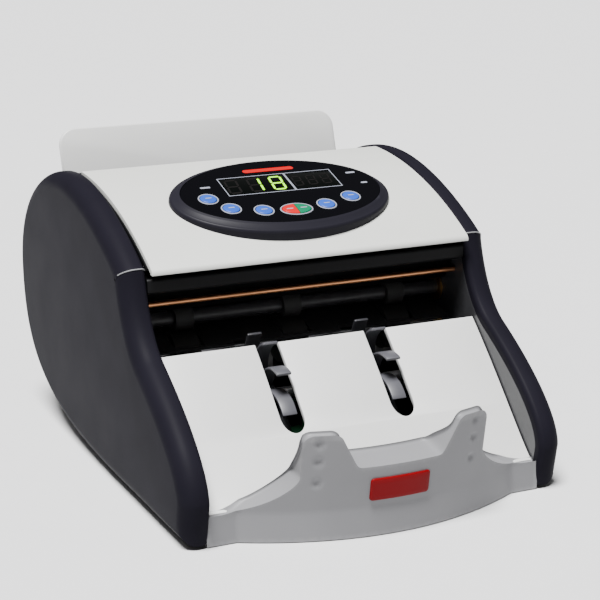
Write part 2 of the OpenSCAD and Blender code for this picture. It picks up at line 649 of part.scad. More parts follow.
// ---- electrics ----
module main_board() place() color([0.08, 0.35, 0.2]) {
  box([-80, 112, 9], [70, 138, 10.6]);
  box([-60, 116, 10.55], [-44, 130, 13]);
  box([-30, 118, 10.55], [-8, 126, 14]);
  for (i = [0 : 3]) translate([10 + 12 * i, 124, 10.55]) cylinder(h = 9, r = 4, $fn = fine);
}

module transformer() place() color([0.35, 0.33, 0.3]) {
  box([18, 192, 20], [66, 228, 54]);
  box([26, 188, 26], [58, 192.1, 48]);
  box([26, 227.9, 26], [58, 233, 48]);
}

inlet_x = -48;
inlet_z = 62;
inlet_flange = [16.5, 12.5];     // half width and half height of the inlet's flange
rocker_x = -14;
rocker_w = 17;
rocker_deg = 16;                 // whole swing of the rocker
fuse_x = 16;
fuse_r = 6;
rear_vent_x = [-60 : 15 : 60];
rear_vent_z = [90, 104];

rear_y = body_d - 9;
cover_wall = 2.5;
cover_top_z = 131;
cover_top_y = plate_top[0] - (plate_z - cover_top_z) * tan(plate_lean) + plate_t / cos(plate_lean)
  + cover_wall + fit;
rear_path = concat([[pan_rear, 23]], whole([rear_y - 12, 28], [rear_y - 4, 31], [rear_y, 35], [rear_y, 42], 6),
  whole([rear_y, 92], [rear_y, 108], [rear_y - 8, 120], [cover_top_y, cover_top_z], 10));
module rear_cover() place() color([0.11, 0.11, 0.12]) difference() {
  across(-bay_w / 2, bay_w / 2) polygon(sheet(rear_path, -cover_wall));
  box([inlet_x - 14.2, rear_y - 10, inlet_z - 10.5], [inlet_x + 14.2, rear_y + 5, inlet_z + 10.5]);
  box([rocker_x - rocker_w / 2 - 1.7, rear_y - 10, inlet_z - 7.2],
    [rocker_x + rocker_w / 2 + 1.7, rear_y + 5, inlet_z + 7.2]);
  translate([fuse_x, rear_y + 5, inlet_z]) rotate([90, 0, 0]) cylinder(h = 20, r = fuse_r + 0.2, $fn = fine);
  for (x = rear_vent_x) box([x, rear_y - 10, rear_vent_z[0]], [x + vent_w, rear_y + 5, rear_vent_z[1]]);
}

module power_inlet() place() color([0.06, 0.06, 0.06]) {
  difference() {
    union() {
      box([inlet_x - 14, rear_y - 20, inlet_z - 10.3], [inlet_x + 14, rear_y + 0.1, inlet_z + 10.3]);
      box([inlet_x - inlet_flange[0], rear_y + 0.05, inlet_z - inlet_flange[1]],
        [inlet_x + inlet_flange[0], rear_y + 1.6, inlet_z + inlet_flange[1]]);
    }
    box([inlet_x - 12.3, rear_y - 15, inlet_z - 8], [inlet_x + 12.3, rear_y + 3, inlet_z + 8]);
  }
  for (p = [[-7, -2], [0, 2], [7, -2]]) box([inlet_x + p[0] - 1, rear_y - 16, inlet_z + p[1] - 2],
    [inlet_x + p[0] + 1, rear_y - 3, inlet_z + p[1] + 2]);
}

rocker_side = [[-5, -3], [2.2, -6], [4.1, -6.2], [3, 0], [4.1, 6.2], [2.2, 6], [-5, 3]];
module power_rocker() place() color([0.75, 0.1, 0.1]) translate([rocker_x, rear_y - 3, inlet_z])
  rotate([rocker_deg / 2, 0, 0]) across(-rocker_w / 2, rocker_w / 2) polygon(rocker_side);

module fuse_holder() place() color([0.07, 0.07, 0.07]) translate([fuse_x, rear_y, inlet_z]) rotate([90, 0, 0])
  difference() {
    union() {
      translate([0, 0, -2]) cylinder(h = 1.9, r = fuse_r + 2, $fn = fine);
      translate([0, 0, -0.2]) cylinder(h = 24, r = fuse_r, $fn = fine);
    }
    translate([-4, -0.6, -3]) cube([8, 1.2, 2]);
  }

module tie_rods() place() color([0.7, 0.7, 0.72]) for (p = rod_at) bar(p, rod_r, -half_in + 0.05, half_in - 0.05);

head_r = 2.8;
head_h = 1.6;
module case_screws() place() color([0.6, 0.6, 0.62]) {
  for (s = [0, 1]) mirror([s, 0, 0]) for (p = boss_at) {
    bar(p, screw_r - 0.05, half_in - 0.3, half_in + frame_t + 5);
    bar(p, head_r, half_in - 1.9, half_in - 0.05);
  }
  for (x = [-80, 80], z = [46, 84]) translate([x, rear_y, z]) rotate([-90, 0, 0])
    cylinder(h = head_h, r = head_r, $fn = fine);
}

base_pan();
feet();
left_housing();
right_housing();
left_side_frame();
right_side_frame();
top_cover();
top_panel();
control_bezel();
key_fascia();
display_window();
count_display();
batch_display();
display_board();
key_switches();
key_1();
key_2();
key_3();
key_4();
key_5();
stop_key();
start_key();
front_crossbar();
static_bar();
stacker_plate();
stacker_tray();
tray_badge();
stacker_shaft();
left_stacker_wheel();
right_stacker_wheel();
stacker_pulley();
transport_shaft();
transport_rollers();
transport_pulleys();
pinch_shaft();
pinch_rollers();
feed_shaft();
feed_rollers();
feed_pulleys();
pickup_shaft();
pickup_rollers();
pickup_pulley();
retard_bracket();
retard_rollers();
gap_knob();
note_guides();
hopper_plate();
hopper_floor();
shaft_bushes();
drive_motor();
motor_pulley();
drive_belts();
main_board();
transformer();
power_inlet();
power_rocker();
fuse_holder();
rear_cover();
tie_rods();
case_screws();
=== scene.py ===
import math

import bmesh
import bpy
from mathutils import Matrix, Vector
from mathutils.geometry import delaunay_2d_cdt


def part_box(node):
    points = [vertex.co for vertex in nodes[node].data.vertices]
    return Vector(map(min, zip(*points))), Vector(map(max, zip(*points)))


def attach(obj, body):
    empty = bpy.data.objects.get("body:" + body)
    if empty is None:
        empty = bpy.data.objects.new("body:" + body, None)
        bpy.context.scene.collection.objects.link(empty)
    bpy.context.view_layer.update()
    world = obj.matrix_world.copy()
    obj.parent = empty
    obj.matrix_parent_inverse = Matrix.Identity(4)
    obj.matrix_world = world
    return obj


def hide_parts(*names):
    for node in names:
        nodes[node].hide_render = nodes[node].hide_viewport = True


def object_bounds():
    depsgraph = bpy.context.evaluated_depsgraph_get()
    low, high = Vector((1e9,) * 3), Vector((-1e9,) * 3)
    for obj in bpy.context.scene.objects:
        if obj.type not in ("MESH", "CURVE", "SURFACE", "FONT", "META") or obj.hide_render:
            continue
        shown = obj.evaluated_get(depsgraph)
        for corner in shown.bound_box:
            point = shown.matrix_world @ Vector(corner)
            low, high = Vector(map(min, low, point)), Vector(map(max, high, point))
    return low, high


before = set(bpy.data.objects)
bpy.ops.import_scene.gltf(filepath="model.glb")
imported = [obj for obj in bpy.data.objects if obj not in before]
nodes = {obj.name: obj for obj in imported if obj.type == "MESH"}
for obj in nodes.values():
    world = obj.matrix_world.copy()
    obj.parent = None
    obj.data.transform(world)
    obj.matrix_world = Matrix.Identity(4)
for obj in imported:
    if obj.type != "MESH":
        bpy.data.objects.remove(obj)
cadLow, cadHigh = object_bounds()
print("frame loaded")

# Lengths below are millimetres from the front: y = 0 at the middle of the tray lip, z = 0 on the table
mm = 0.001
machine = {
    "bodyDepth": 285.0,
    "crownHeight": 151.0,
    "groundGap": 2.0,
    "wall": 2.5,
    "outerEdge": 9.0,
    "innerEdge": 3.0,
    "fit": 0.3,
    # radius of the bead along the crease seam; the bead's pale grey is a painted highlight on the seam
    "seamHighlightRadius": 0.34,
}
# the CAD's middle is at its origin, so the front's place follows the object's box
frontShift = cadHigh.y / mm - machine["bodyDepth"]
halfOut = cadHigh.x / mm
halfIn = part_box("right_side_frame")[0].x / mm
halfBay = halfIn - machine["fit"]


# ---------- meshes ----------

def fromFront(point):
    return Vector((point[0] * mm, (point[1] + frontShift) * mm, point[2] * mm))


def blendPoint(a, b, t):
    return tuple(u + (v - u) * t for u, v in zip(a, b))


def bezier(a, b, c, d, steps, last=False):
    points = []
    for i in range(steps + (1 if last else 0)):
        t = i / steps
        s = 1 - t
        points.append(tuple(s ** 3 * p + 3 * s * s * t * q + 3 * s * t * t * r + t ** 3 * e
                            for p, q, r, e in zip(a, b, c, d)))
    return points


def arc(centre, radius, start, end, steps):
    angles = [math.radians(start + (end - start) * i / steps) for i in range(steps + 1)]
    return [(centre[0] + radius * math.cos(a), centre[1] + radius * math.sin(a)) for a in angles]


def refined(outline, longest):
    # the same closed outline with its long edges divided
    result = []
    for i, point in enumerate(outline):
        previous = outline[i - 1]
        length = math.dist(previous, point)
        if length < 0.01:
            continue
        pieces = max(1, round(length / longest))
        result += [blendPoint(previous, point, (k + 1) / pieces) for k in range(pieces)]
    return result


def roundedBox(low, high, radius, steps=8):
    # the outline of a rectangle with round corners
    left, right = low[0] + radius, high[0] - radius
    bottom, top = low[1] + radius, high[1] - radius
    corners = [(right, top), (left, top), (left, bottom), (right, bottom)]
    return [p for i, corner in enumerate(corners) for p in arc(corner, radius, 90 * i, 90 * i + 90, steps)]


def inset(outline, distance):
    moved = []
    count = len(outline)
    for i, point in enumerate(outline):
        before = Vector(point) - Vector(outline[i - 1])
        after = Vector(outline[(i + 1) % count]) - Vector(point)
        leftBefore = Vector((-before.y, before.x)).normalized()
        leftAfter = Vector((-after.y, after.x)).normalized()
        middle = (leftBefore + leftAfter).normalized()
        step = middle * (distance / max(0.3, middle.dot(leftBefore)))
        moved.append((point[0] + step.x, point[1] + step.y))
    return moved


def thickened(path, thickness):
    # a sheet on the right-hand side of an open path, or on its left where the thickness is negative
    back = []
    for i, point in enumerate(path):
        before = Vector(path[i]) - Vector(path[i - 1]) if i else Vector(path[1]) - Vector(path[0])
        after = Vector(path[i + 1]) - Vector(point) if i < len(path) - 1 else before
        leftBefore = Vector((-before.y, before.x)).normalized()
        leftAfter = Vector((-after.y, after.x)).normalized()
        middle = (leftBefore + leftAfter).normalized()
        step = middle * (thickness / middle.dot(leftBefore))
        back.append((point[0] - step.x, point[1] - step.y))
    return list(path) + back[::-1]


def joined(rings, capped=True):
    count = len(rings[0])
    points = [p for ring in rings for p in ring]
    faces = []
    for j in range(len(rings) - 1):
        for i in range(count):
            k = (i + 1) % count
            faces.append((j * count + i, (j + 1) * count + i, (j + 1) * count + k, j * count + k))
    if capped:
        faces.append(tuple(range(count)))
        faces.append(tuple(range(len(points) - 1, len(points) - 1 - count, -1)))
    return points, faces


def linked(name, data):
    made = bpy.data.objects.new(name, data)
    bpy.context.scene.collection.objects.link(made)
    return made


def builtObject(name, work):
    # ends a bmesh and makes an object of it
    mesh = bpy.data.meshes.new(name)
    work.to_mesh(mesh)
    work.free()
    return linked(name, mesh)


def meshObject(name, points, faces, place=fromFront):
    mesh = bpy.data.meshes.new(name)
    mesh.from_pydata([place(p) for p in points], [], faces)
    made = linked(name, mesh)
    tidyMesh(made)
    return made


def tidyMesh(piece, recalculate=True):
    work = bmesh.new()
    work.from_mesh(piece.data)
    bmesh.ops.remove_doubles(work, verts=work.verts, dist=0.002 * mm)
    bmesh.ops.dissolve_degenerate(work, edges=work.edges, dist=0.001 * mm)
    if recalculate:
        bmesh.ops.recalc_face_normals(work, faces=work.faces)
    work.to_mesh(piece.data)
    work.free()


def shadeSoft(piece, sharpDegrees=38):
    work = bmesh.new()
    work.from_mesh(piece.data)
    for face in work.faces:
        face.smooth = True
    for edge in work.edges:
        edge.smooth = not (len(edge.link_faces) == 2
                           and edge.calc_face_angle(0) > math.radians(sharpDegrees))
    work.to_mesh(piece.data)
    work.free()


def settled(piece):
    # turns the result of the modifiers into a plain mesh
    graph = bpy.context.evaluated_depsgraph_get()
    graph.update()
    result = bpy.data.meshes.new_from_object(piece.evaluated_get(graph))
    piece.modifiers.clear()
    piece.data = result
    result.name = piece.name
    return piece


def softened(piece, width, segments=3, limit=35):
    rounding = piece.modifiers.new("rounding", "BEVEL")
    rounding.width = width * mm
    rounding.segments = segments
    rounding.limit_method = "ANGLE"
    rounding.angle_limit = math.radians(limit)
    rounding.use_clamp_overlap = True
    return settled(piece)


def cutAway(piece, *cutters):
    for cutter in cutters:
        cutting = piece.modifiers.new("cut", "BOOLEAN")
        cutting.operation = "DIFFERENCE"
        cutting.solver = "EXACT"
        cutting.object = cutter
        settled(piece)
        bpy.data.objects.remove(cutter)
    tidyMesh(piece, recalculate=False)
    return piece


def merged(name, pieces):
    work = bmesh.new()
    for part in pieces:
        work.from_mesh(part.data)
    for part in pieces:
        bpy.data.objects.remove(part)
    return builtObject(name, work)


def finishPiece(piece, material, body="root", stands=(), sharp=38):
    shadeSoft(piece, sharp)
    piece.data.materials.clear()
    piece.data.materials.append(material)
    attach(piece, body)
    if stands:
        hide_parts(*stands)
    return piece


def acrossMachine(name, outline, left, right, place=fromFront):
    rings = [[(x, p[0], p[1]) for p in outline] for x in (left, right)]
    return meshObject(name, *joined(rings), place=place)


def slab(name, low, high, place=fromFront):
    outline = [(low[1], low[2]), (high[1], low[2]), (high[1], high[2]), (low[1], high[2])]
    return acrossMachine(name, outline, low[0], high[0], place=place)


def turned(name, profile, segments=64, place=fromFront):
    # revolves (radius, height) points about the z axis; the first and last radius may be zero
    rings = [[(r * math.cos(2 * math.pi * i / segments), r * math.sin(2 * math.pi * i / segments), z)
              for i in range(segments)] for r, z in profile]
    return meshObject(name, *joined(rings, capped=profile[0][0] > 0), place=place)


# ---------- repeats made by geometry nodes ----------

def newTree(name, inputs):
    tree = bpy.data.node_groups.new(name, "GeometryNodeTree")
    tree.interface.new_socket(name="Shape", in_out="INPUT", socket_type="NodeSocketGeometry")
    for label, kind, value in inputs:
        tree.interface.new_socket(name=label, in_out="INPUT", socket_type=kind).default_value = value
    tree.interface.new_socket(name="Shape", in_out="OUTPUT", socket_type="NodeSocketGeometry")
    return tree


def linkNodes(tree, pairs):
    for source, target in pairs:
        tree.links.new(source, target)


def endTree(tree, geometry, given):
    real = tree.nodes.new("GeometryNodeRealizeInstances")
    paint = tree.nodes.new("GeometryNodeSetMaterial")
    out = tree.nodes.new("NodeGroupOutput")
    linkNodes(tree, [
        (geometry, real.inputs[0]), (real.outputs[0], paint.inputs["Geometry"]),
        (given.outputs["Material"], paint.inputs["Material"]), (paint.outputs[0], out.inputs[0])])


def roundRepeatTree():
    # copies of a shape turned about the x axis
    tree = newTree("roundRepeat", [("Count", "NodeSocketInt", 8), ("Material", "NodeSocketMaterial", None)])
    given = tree.nodes.new("NodeGroupInput")
    spots = tree.nodes.new("GeometryNodePoints")
    copies = tree.nodes.new("GeometryNodeInstanceOnPoints")
    index = tree.nodes.new("GeometryNodeInputIndex")
    share = tree.nodes.new("ShaderNodeMath")
    share.operation = "DIVIDE"
    angle = tree.nodes.new("ShaderNodeMath")
    angle.operation = "MULTIPLY"
    angle.inputs[1].default_value = 2 * math.pi
    turn = tree.nodes.new("ShaderNodeCombineXYZ")
    linkNodes(tree, [
        (given.outputs["Count"], spots.inputs["Count"]), (index.outputs[0], share.inputs[0]),
        (given.outputs["Count"], share.inputs[1]), (share.outputs[0], angle.inputs[0]),
        (angle.outputs[0], turn.inputs["X"]), (spots.outputs[0], copies.inputs["Points"]),
        (given.outputs["Shape"], copies.inputs["Instance"]), (turn.outputs[0], copies.inputs["Rotation"])])
    endTree(tree, copies.outputs[0], given)
    return tree


roundRepeat = roundRepeatTree()


def repeatedRound(piece, **values):
    modifier = piece.modifiers.new("repeat", "NODES")
    modifier.node_group = roundRepeat
    for item in roundRepeat.interface.items_tree:
        if item.in_out == "INPUT" and item.name in values:
            modifier[item.identifier] = values[item.name]
    return settled(piece)


# ---------- materials ----------

def groupTree(name, inputs, outputs):
    tree = bpy.data.node_groups.new(name, "ShaderNodeTree")
    for label, kind, value in inputs:
        tree.interface.new_socket(name=label, in_out="INPUT", socket_type=kind).default_value = value
    for label, kind in outputs:
        tree.interface.new_socket(name=label, in_out="OUTPUT", socket_type=kind)
    return tree, tree.nodes.new("NodeGroupInput"), tree.nodes.new("NodeGroupOutput")


def mathNode(tree, operation, first, second, clamp=False):
    made = tree.nodes.new("ShaderNodeMath")
    made.operation = operation
    made.use_clamp = clamp
    for socket, value in zip(made.inputs, (first, second)):
        if isinstance(value, (int, float)):
            socket.default_value = value
        else:
            tree.links.new(value, socket)
    return made.outputs[0]


def noiseNode(tree, vector, scale, detail=2.0, roughness=0.5):
    made = tree.nodes.new("ShaderNodeTexNoise")
    made.inputs["Detail"].default_value = detail
    made.inputs["Roughness"].default_value = roughness
    tree.links.new(vector, made.inputs["Vector"])
    if isinstance(scale, (int, float)):
        made.inputs["Scale"].default_value = scale
    else:
        tree.links.new(scale, made.inputs["Scale"])
    return made.outputs["Fac"]


def mixColour(tree, factor, first, second):
    made = tree.nodes.new("ShaderNodeMix")
    made.data_type = "RGBA"
    for socket, value in ((made.inputs[0], factor), (made.inputs[6], first), (made.inputs[7], second)):
        if hasattr(value, "is_output"):
            tree.links.new(value, socket)
        else:
            socket.default_value = value
    return made.outputs[2]


def grainGroup():
    # moulded or coated surface: fine grain, faint cloudiness and uneven gloss
    tree, given, out = groupTree("surfaceGrain", [
        ("Base", "NodeSocketColor", (0.5, 0.5, 0.5, 1)), ("Cloud", "NodeSocketFloat", 0.1),
        ("Grain Scale", "NodeSocketFloat", 2500.0), ("Roughness", "NodeSocketFloat", 0.5),
        ("Gloss Spread", "NodeSocketFloat", 0.1), ("Stretch", "NodeSocketVector", (1, 1, 1))],
        [("Color", "NodeSocketColor"), ("Roughness", "NodeSocketFloat"), ("Height", "NodeSocketFloat")])
    place = tree.nodes.new("ShaderNodeTexCoord").outputs["Object"]
    stretch = tree.nodes.new("ShaderNodeVectorMath")
    stretch.operation = "MULTIPLY"
    linkNodes(tree, [(place, stretch.inputs[0]), (given.outputs["Stretch"], stretch.inputs[1])])
    fine = noiseNode(tree, stretch.outputs[0], given.outputs["Grain Scale"], 3.0, 0.6)
    broad = noiseNode(tree, place, 38.0, 4.0, 0.55)
    cloud = mathNode(tree, "MULTIPLY", mathNode(tree, "SUBTRACT", broad, 0.35), given.outputs["Cloud"])
    speck = mathNode(tree, "MULTIPLY", mathNode(tree, "SUBTRACT", fine, 0.5), given.outputs["Cloud"])
    darker = mixColour(tree, mathNode(tree, "ADD", mathNode(tree, "MULTIPLY", cloud, 2.0), speck, clamp=True),
                       given.outputs["Base"], (0, 0, 0, 1))
    gloss = mathNode(tree, "MULTIPLY", mathNode(tree, "SUBTRACT", broad, 0.5), given.outputs["Gloss Spread"])
    linkNodes(tree, [
        (darker, out.inputs["Color"]), (fine, out.inputs["Height"]),
        (mathNode(tree, "ADD", given.outputs["Roughness"], gloss, clamp=True), out.inputs["Roughness"])])
    return tree


def maskGroup(name, amount):
    return groupTree(name, [("Amount", "NodeSocketFloat", amount)], [("Mask", "NodeSocketFloat")])


def wearGroup():
    # mask of rubbed edges, broken up by noise
    tree, given, out = maskGroup("edgeWear", 0.5)
    shape = tree.nodes.new("ShaderNodeNewGeometry")
    place = tree.nodes.new("ShaderNodeTexCoord").outputs["Object"]
    raised = mathNode(tree, "SUBTRACT", shape.outputs["Pointiness"], 0.52)
    edges = mathNode(tree, "MULTIPLY", raised, 9.0, clamp=True)
    broken = mathNode(tree, "MULTIPLY", noiseNode(tree, place, 260.0, 4.0, 0.7), 1.4, clamp=True)
    rubbed = mathNode(tree, "MULTIPLY", edges, broken)
    mask = mathNode(tree, "MULTIPLY", rubbed, given.outputs["Amount"], clamp=True)
    linkNodes(tree, [(mask, out.inputs["Mask"])])
    return tree


def dustGroup():
    # mask of thin dust on faces that look up
    tree, given, out = maskGroup("settledDust", 0.1)
    shape = tree.nodes.new("ShaderNodeNewGeometry")
    split = tree.nodes.new("ShaderNodeSeparateXYZ")
    tree.links.new(shape.outputs["Normal"], split.inputs[0])
    place = tree.nodes.new("ShaderNodeTexCoord").outputs["Object"]
    up = mathNode(tree, "POWER", mathNode(tree, "MAXIMUM", split.outputs["Z"], 0.0), 3.0)
    broad, fine = noiseNode(tree, place, 55.0, 6.0, 0.7), noiseNode(tree, place, 900.0, 2.0)
    fallen = mathNode(tree, "MULTIPLY", up, mathNode(tree, "MULTIPLY", broad, fine))
    mask = mathNode(tree, "MULTIPLY", fallen, given.outputs["Amount"], clamp=True)
    linkNodes(tree, [(mask, out.inputs["Mask"])])
    return tree


shared = {"grain": grainGroup(), "wear": wearGroup(), "dust": dustGroup()}


def useGroup(tree, name, **values):
    made = tree.nodes.new("ShaderNodeGroup")
    made.node_tree = shared[name]
    for label, value in values.items():
        made.inputs[label.replace("_", " ")].default_value = value
    return made


def surface(name, colour, roughness=0.5, grain=2500.0, bump=0.05, cloud=0.06, spread=0.08, wear=0.0,
            worn=None, dust=0.0, metallic=0.0, stretch=(1, 1, 1), glow=None, specular=0.5):
    material = bpy.data.materials.new(name)
    material.use_nodes = True
    tree = material.node_tree
    shader = tree.nodes["Principled BSDF"]
    grained = useGroup(tree, "grain", Base=(*colour, 1), Cloud=cloud, Grain_Scale=grain, Roughness=roughness,
                       Gloss_Spread=spread, Stretch=stretch)
    result = grained.outputs["Color"]
    if wear:
        rubbed = useGroup(tree, "wear", Amount=wear)
        lighter = worn or tuple(min(1.0, c * 1.8 + 0.03) for c in colour)
        result = mixColour(tree, rubbed.outputs["Mask"], result, (*lighter, 1))
    if dust:
        dusted = useGroup(tree, "dust", Amount=dust)
        result = mixColour(tree, dusted.outputs["Mask"], result, (0.55, 0.54, 0.52, 1))
    relief = tree.nodes.new("ShaderNodeBump")
    relief.inputs["Strength"].default_value = bump
    relief.inputs["Distance"].default_value = 0.2 * mm
    linkNodes(tree, [
        (result, shader.inputs["Base Color"]), (grained.outputs["Roughness"], shader.inputs["Roughness"]),
        (grained.outputs["Height"], relief.inputs["Height"]), (relief.outputs[0], shader.inputs["Normal"])])
    shader.inputs["Metallic"].default_value = metallic
    shader.inputs["Specular IOR Level"].default_value = specular
    if glow:
        shader.inputs["Emission Strength"].default_value = glow
        tree.links.new(result, shader.inputs["Emission Color"])
    return material


# each row: name, colour, roughness, grain scale, depth of grain, cloudiness, spread of gloss
finish = {
    "housing": surface("housingPlastic", (0.0068, 0.0062, 0.0094), 0.5, 1900, 0.16, 0.16, 0.08,
                       wear=0.2, worn=(0.03, 0.03, 0.037), specular=0.02),
    "black": surface("blackPlastic", (0.0020, 0.0020, 0.0024), 0.5, 2400, 0.10, 0.14, 0.1,
                     wear=0.2, worn=(0.014, 0.014, 0.014), specular=0.10),
    "panel": surface("panelGrey", (0.44, 0.444, 0.422), 0.42, 2600, 0.07, 0.04, 0.07,
                     wear=0.15, worn=(0.55, 0.55, 0.53), specular=0.3),
    "tray": surface("trayGrey", (0.15, 0.15, 0.156), 0.48, 2600, 0.08, 0.06, 0.08,
                    wear=0.35, worn=(0.35, 0.35, 0.35), specular=0.25),
    "plate": surface("plateWhite", (0.47, 0.47, 0.463), 0.38, 2600, 0.06, 0.04, 0.08,
                     wear=0.15, worn=(0.58, 0.58, 0.58), specular=0.3),
    "bezel": surface("bezelGrey", (0.009, 0.0085, 0.012), 0.40, 2200, 0.10, 0.12, 0.1,
                     wear=0.25, worn=(0.035, 0.035, 0.042), specular=0.06),
    "fascia": surface("glossBlack", (0.001, 0.001, 0.0016), 0.16, 900, 0.010, 0.1, 0.05, specular=0.08),
    "window": surface("smokedWindow", (0.001, 0.0013, 0.0012), 0.12, 700, 0.006, 0.1, 0.04, specular=0.08),
    "lit": surface("litSegment", (0.30, 0.80, 0.01), 0.3, 1500, 0.02, 0.15, 0.05, glow=0.7),
    "unlit": surface("unlitSegment", (0.0045, 0.0040, 0.0040), 0.35, 1500, 0.02, 0.15, 0.05, specular=0.1),
    "blueKey": surface("keyBlue", (0.015, 0.058, 0.30), 0.34, 2400, 0.06, 0.08, 0.08,
                       wear=0.25, worn=(0.07, 0.15, 0.38), specular=0.2),
    "redKey": surface("keyRed", (0.36, 0.003, 0.006), 0.34, 2400, 0.06, 0.08, 0.08,
                      wear=0.2, worn=(0.42, 0.028, 0.028), specular=0.1),
    "greenKey": surface("keyGreen", (0.0, 0.11, 0.052), 0.34, 2400, 0.06, 0.08, 0.08,
                        wear=0.2, worn=(0.014, 0.17, 0.10), specular=0.1),
    "print": surface("palePrint", (0.20, 0.21, 0.25), 0.45, 3000, 0.05, 0.10, 0.06, specular=0.2),
    "stripe": surface("redPrint", (0.33, 0.003, 0.004), 0.4, 3000, 0.04, 0.1, 0.06, specular=0.1),
    "badge": surface("badgeRed", (0.13, 0.0, 0.002), 0.32, 2000, 0.05, 0.16, 0.08,
                     wear=0.2, worn=(0.22, 0.006, 0.01), specular=0.08),
    "board": surface("boardGreen", (0.006, 0.045, 0.018), 0.4, 600, 0.12, 0.25, 0.1),
    "steel": surface("turnedSteel", (0.62, 0.62, 0.64), 0.26, 900, 0.12, 0.10, 0.14,
                     metallic=1.0, stretch=(6, 1, 1)),
    "zinc": surface("zincScrew", (0.50, 0.50, 0.52), 0.32, 1800, 0.10, 0.15, 0.15, metallic=1.0),
    "copper": surface("copperBar", (0.55, 0.25, 0.12), 0.34, 800, 0.14, 0.25, 0.2,
                      metallic=1.0, stretch=(0.1, 4, 4)),
    "frame": surface("blackFrame", (0.014, 0.014, 0.016), 0.40, 1300, 0.14, 0.12, 0.12, wear=0.5, dust=0.1),
    "rubber": surface("groundRubber", (0.016, 0.016, 0.016), 0.72, 1500, 0.30, 0.25, 0.1,
                      stretch=(0.25, 1, 1)),
    "retard": surface("retardRubber", (0.20, 0.055, 0.03), 0.68, 1500, 0.30, 0.25, 0.1),
    "wheel": surface("wheelPlastic", (0.045, 0.045, 0.052), 0.45, 1900, 0.12, 0.14, 0.1, wear=0.4),
    "nylon": surface("nylon", (0.66, 0.65, 0.58), 0.45, 1800, 0.08, 0.08, 0.1),
    "foot": surface("footRubber", (0.012, 0.012, 0.012), 0.75, 1600, 0.25, 0.2, 0.08),
    "belt": surface("beltRubber", (0.014, 0.014, 0.014), 0.65, 1400, 0.25, 0.2, 0.1),
    "bronze": surface("bushBronze", (0.52, 0.30, 0.10), 0.38, 1800, 0.2, 0.25, 0.15, metallic=1.0),
    "motor": surface("motorCan", (0.50, 0.51, 0.53), 0.34, 900, 0.1, 0.12, 0.15,
                     metallic=1.0, stretch=(0.3, 3, 3)),
    "core": surface("laminatedCore", (0.07, 0.065, 0.06), 0.5, 1500, 0.5, 0.2, 0.1, stretch=(4, 0.1, 0.1)),
    "bench": surface("paleFloor", (0.52, 0.52, 0.524), 0.6, 260, 0.03, 0.02, 0.05, specular=0.15),
}
print("materials ready")


# ---------- side housings ----------

profile = {
    "foot": (20.5, machine["groundGap"]),
    "heel": (120.0, machine["groundGap"]),
    "rear": (machine["bodyDepth"], 84.0),
    "crown": (197.0, machine["crownHeight"]),
    "crease": (100.2, 119.8),
    "shoulder": (75.5, 78.3),
    "nose": (16.3, 22.8),
}


def sideOutline():
    p = profile
    depth, crownHeight, gap = machine["bodyDepth"], machine["crownHeight"], machine["groundGap"]
    parts = [
        [p["foot"], (70.0, gap)],
        bezier(p["heel"], (depth - 37, gap), (depth, 29), p["rear"], 48),
        bezier(p["rear"], (depth, 124), (depth - 42, crownHeight), p["crown"], 44),
        bezier(p["crown"], (p["crown"][0] - 36, crownHeight), (122, crownHeight - 17.5), p["crease"], 40),
        bezier(p["crease"], (97, 103), (88.2, 85.5), p["shoulder"], 24),
        bezier(p["shoulder"], (48.2, 63.7), (16.3, 41.9), p["nose"], 40),
        [p["nose"], ((p["nose"][0] + p["foot"][0]) / 2, 12.4)]]
    outline = [q for part in parts for q in part]
    crease = sum(len(part) for part in parts[:4])
    return outline, crease


def housingRings(outline):
    lip, edge, wall = machine["innerEdge"], machine["outerEdge"], machine["wall"]
    stations = [(halfOut - wall, wall + lip), (halfIn, wall + lip)]
    for i in range(8):
        a = math.radians(i * 90 / 8)
        stations.append((halfIn + lip * (1 - math.cos(a)), lip * (1 - math.sin(a))))
    for i in range(15):
        a = math.radians(i * 90 / 14)
        stations.append((halfOut - edge * (1 - math.sin(a)), edge * (1 - math.cos(a))))
    return [[(x, q[0], q[1]) for q in inset(outline, depth)] for x, depth in stations]


def mirroredPoints(rings, side):
    return [[(side * x, y, z) for x, y, z in ring] for ring in rings]


def sideHousing(side, label):
    outline, crease = sideOutline()
    rings = mirroredPoints(housingRings(outline), side)
    shell = meshObject(f"{label}HousingShell", *joined(rings))
    finishPiece(shell, finish["housing"], stands=[f"{label}_housing"], sharp=28)
    # the seam at the crease is real; the bead along it is drawn in the tray's paler grey as a painted
    # highlight on the seam's edge
    seamHighlightPath = [Vector(fromFront(ring[crease])) for ring in rings[2:-4]]
    finishPiece(bead(f"{label}HousingSeamHighlight", seamHighlightPath, machine["seamHighlightRadius"]), finish["tray"])


def bead(name, path, radius):
    # a round bead along a path of points in metres
    turns = [2 * math.pi * k / 10 for k in range(10)]
    rings = []
    for i, point in enumerate(path):
        ahead = (path[min(i + 1, len(path) - 1)] - path[max(i - 1, 0)]).normalized()
        across = ahead.cross(Vector((0, 0.36, 1))).normalized()
        over = across.cross(ahead)
        rings.append([point + (across * math.cos(a) + over * math.sin(a)) * radius * mm for a in turns])
    return meshObject(name, *joined(rings), place=lambda p: Vector(p))


for side, label in ((-1, "left"), (1, "right")):
    sideHousing(side, label)
print("side housings made")


# ---------- top panel and control pod ----------

deck = {"radius": 227.0, "centreY": 208.5, "centreZ": 150.7 - 227.0, "back": 204.0, "front": 95.0,
        "thickness": 2.5, "roll": 3.0, "sideGap": 0.9}
pod = {"y": 139.0, "halfLength": 62.5, "halfWidth": 38.5, "height": 5.0, "rim": 5.5, "faceDrop": 0.1,
       "faceThick": 1.4, "holeInset": 2.6, "skirt": -5.8, "shoulderDrop": 4.2, "shoulderIn": 1.9,
       "shoulderUp": 2.1, "lipIn": 1.5, "lipDrop": 0.55, "step": 0.7, "stepDrop": 1.65}


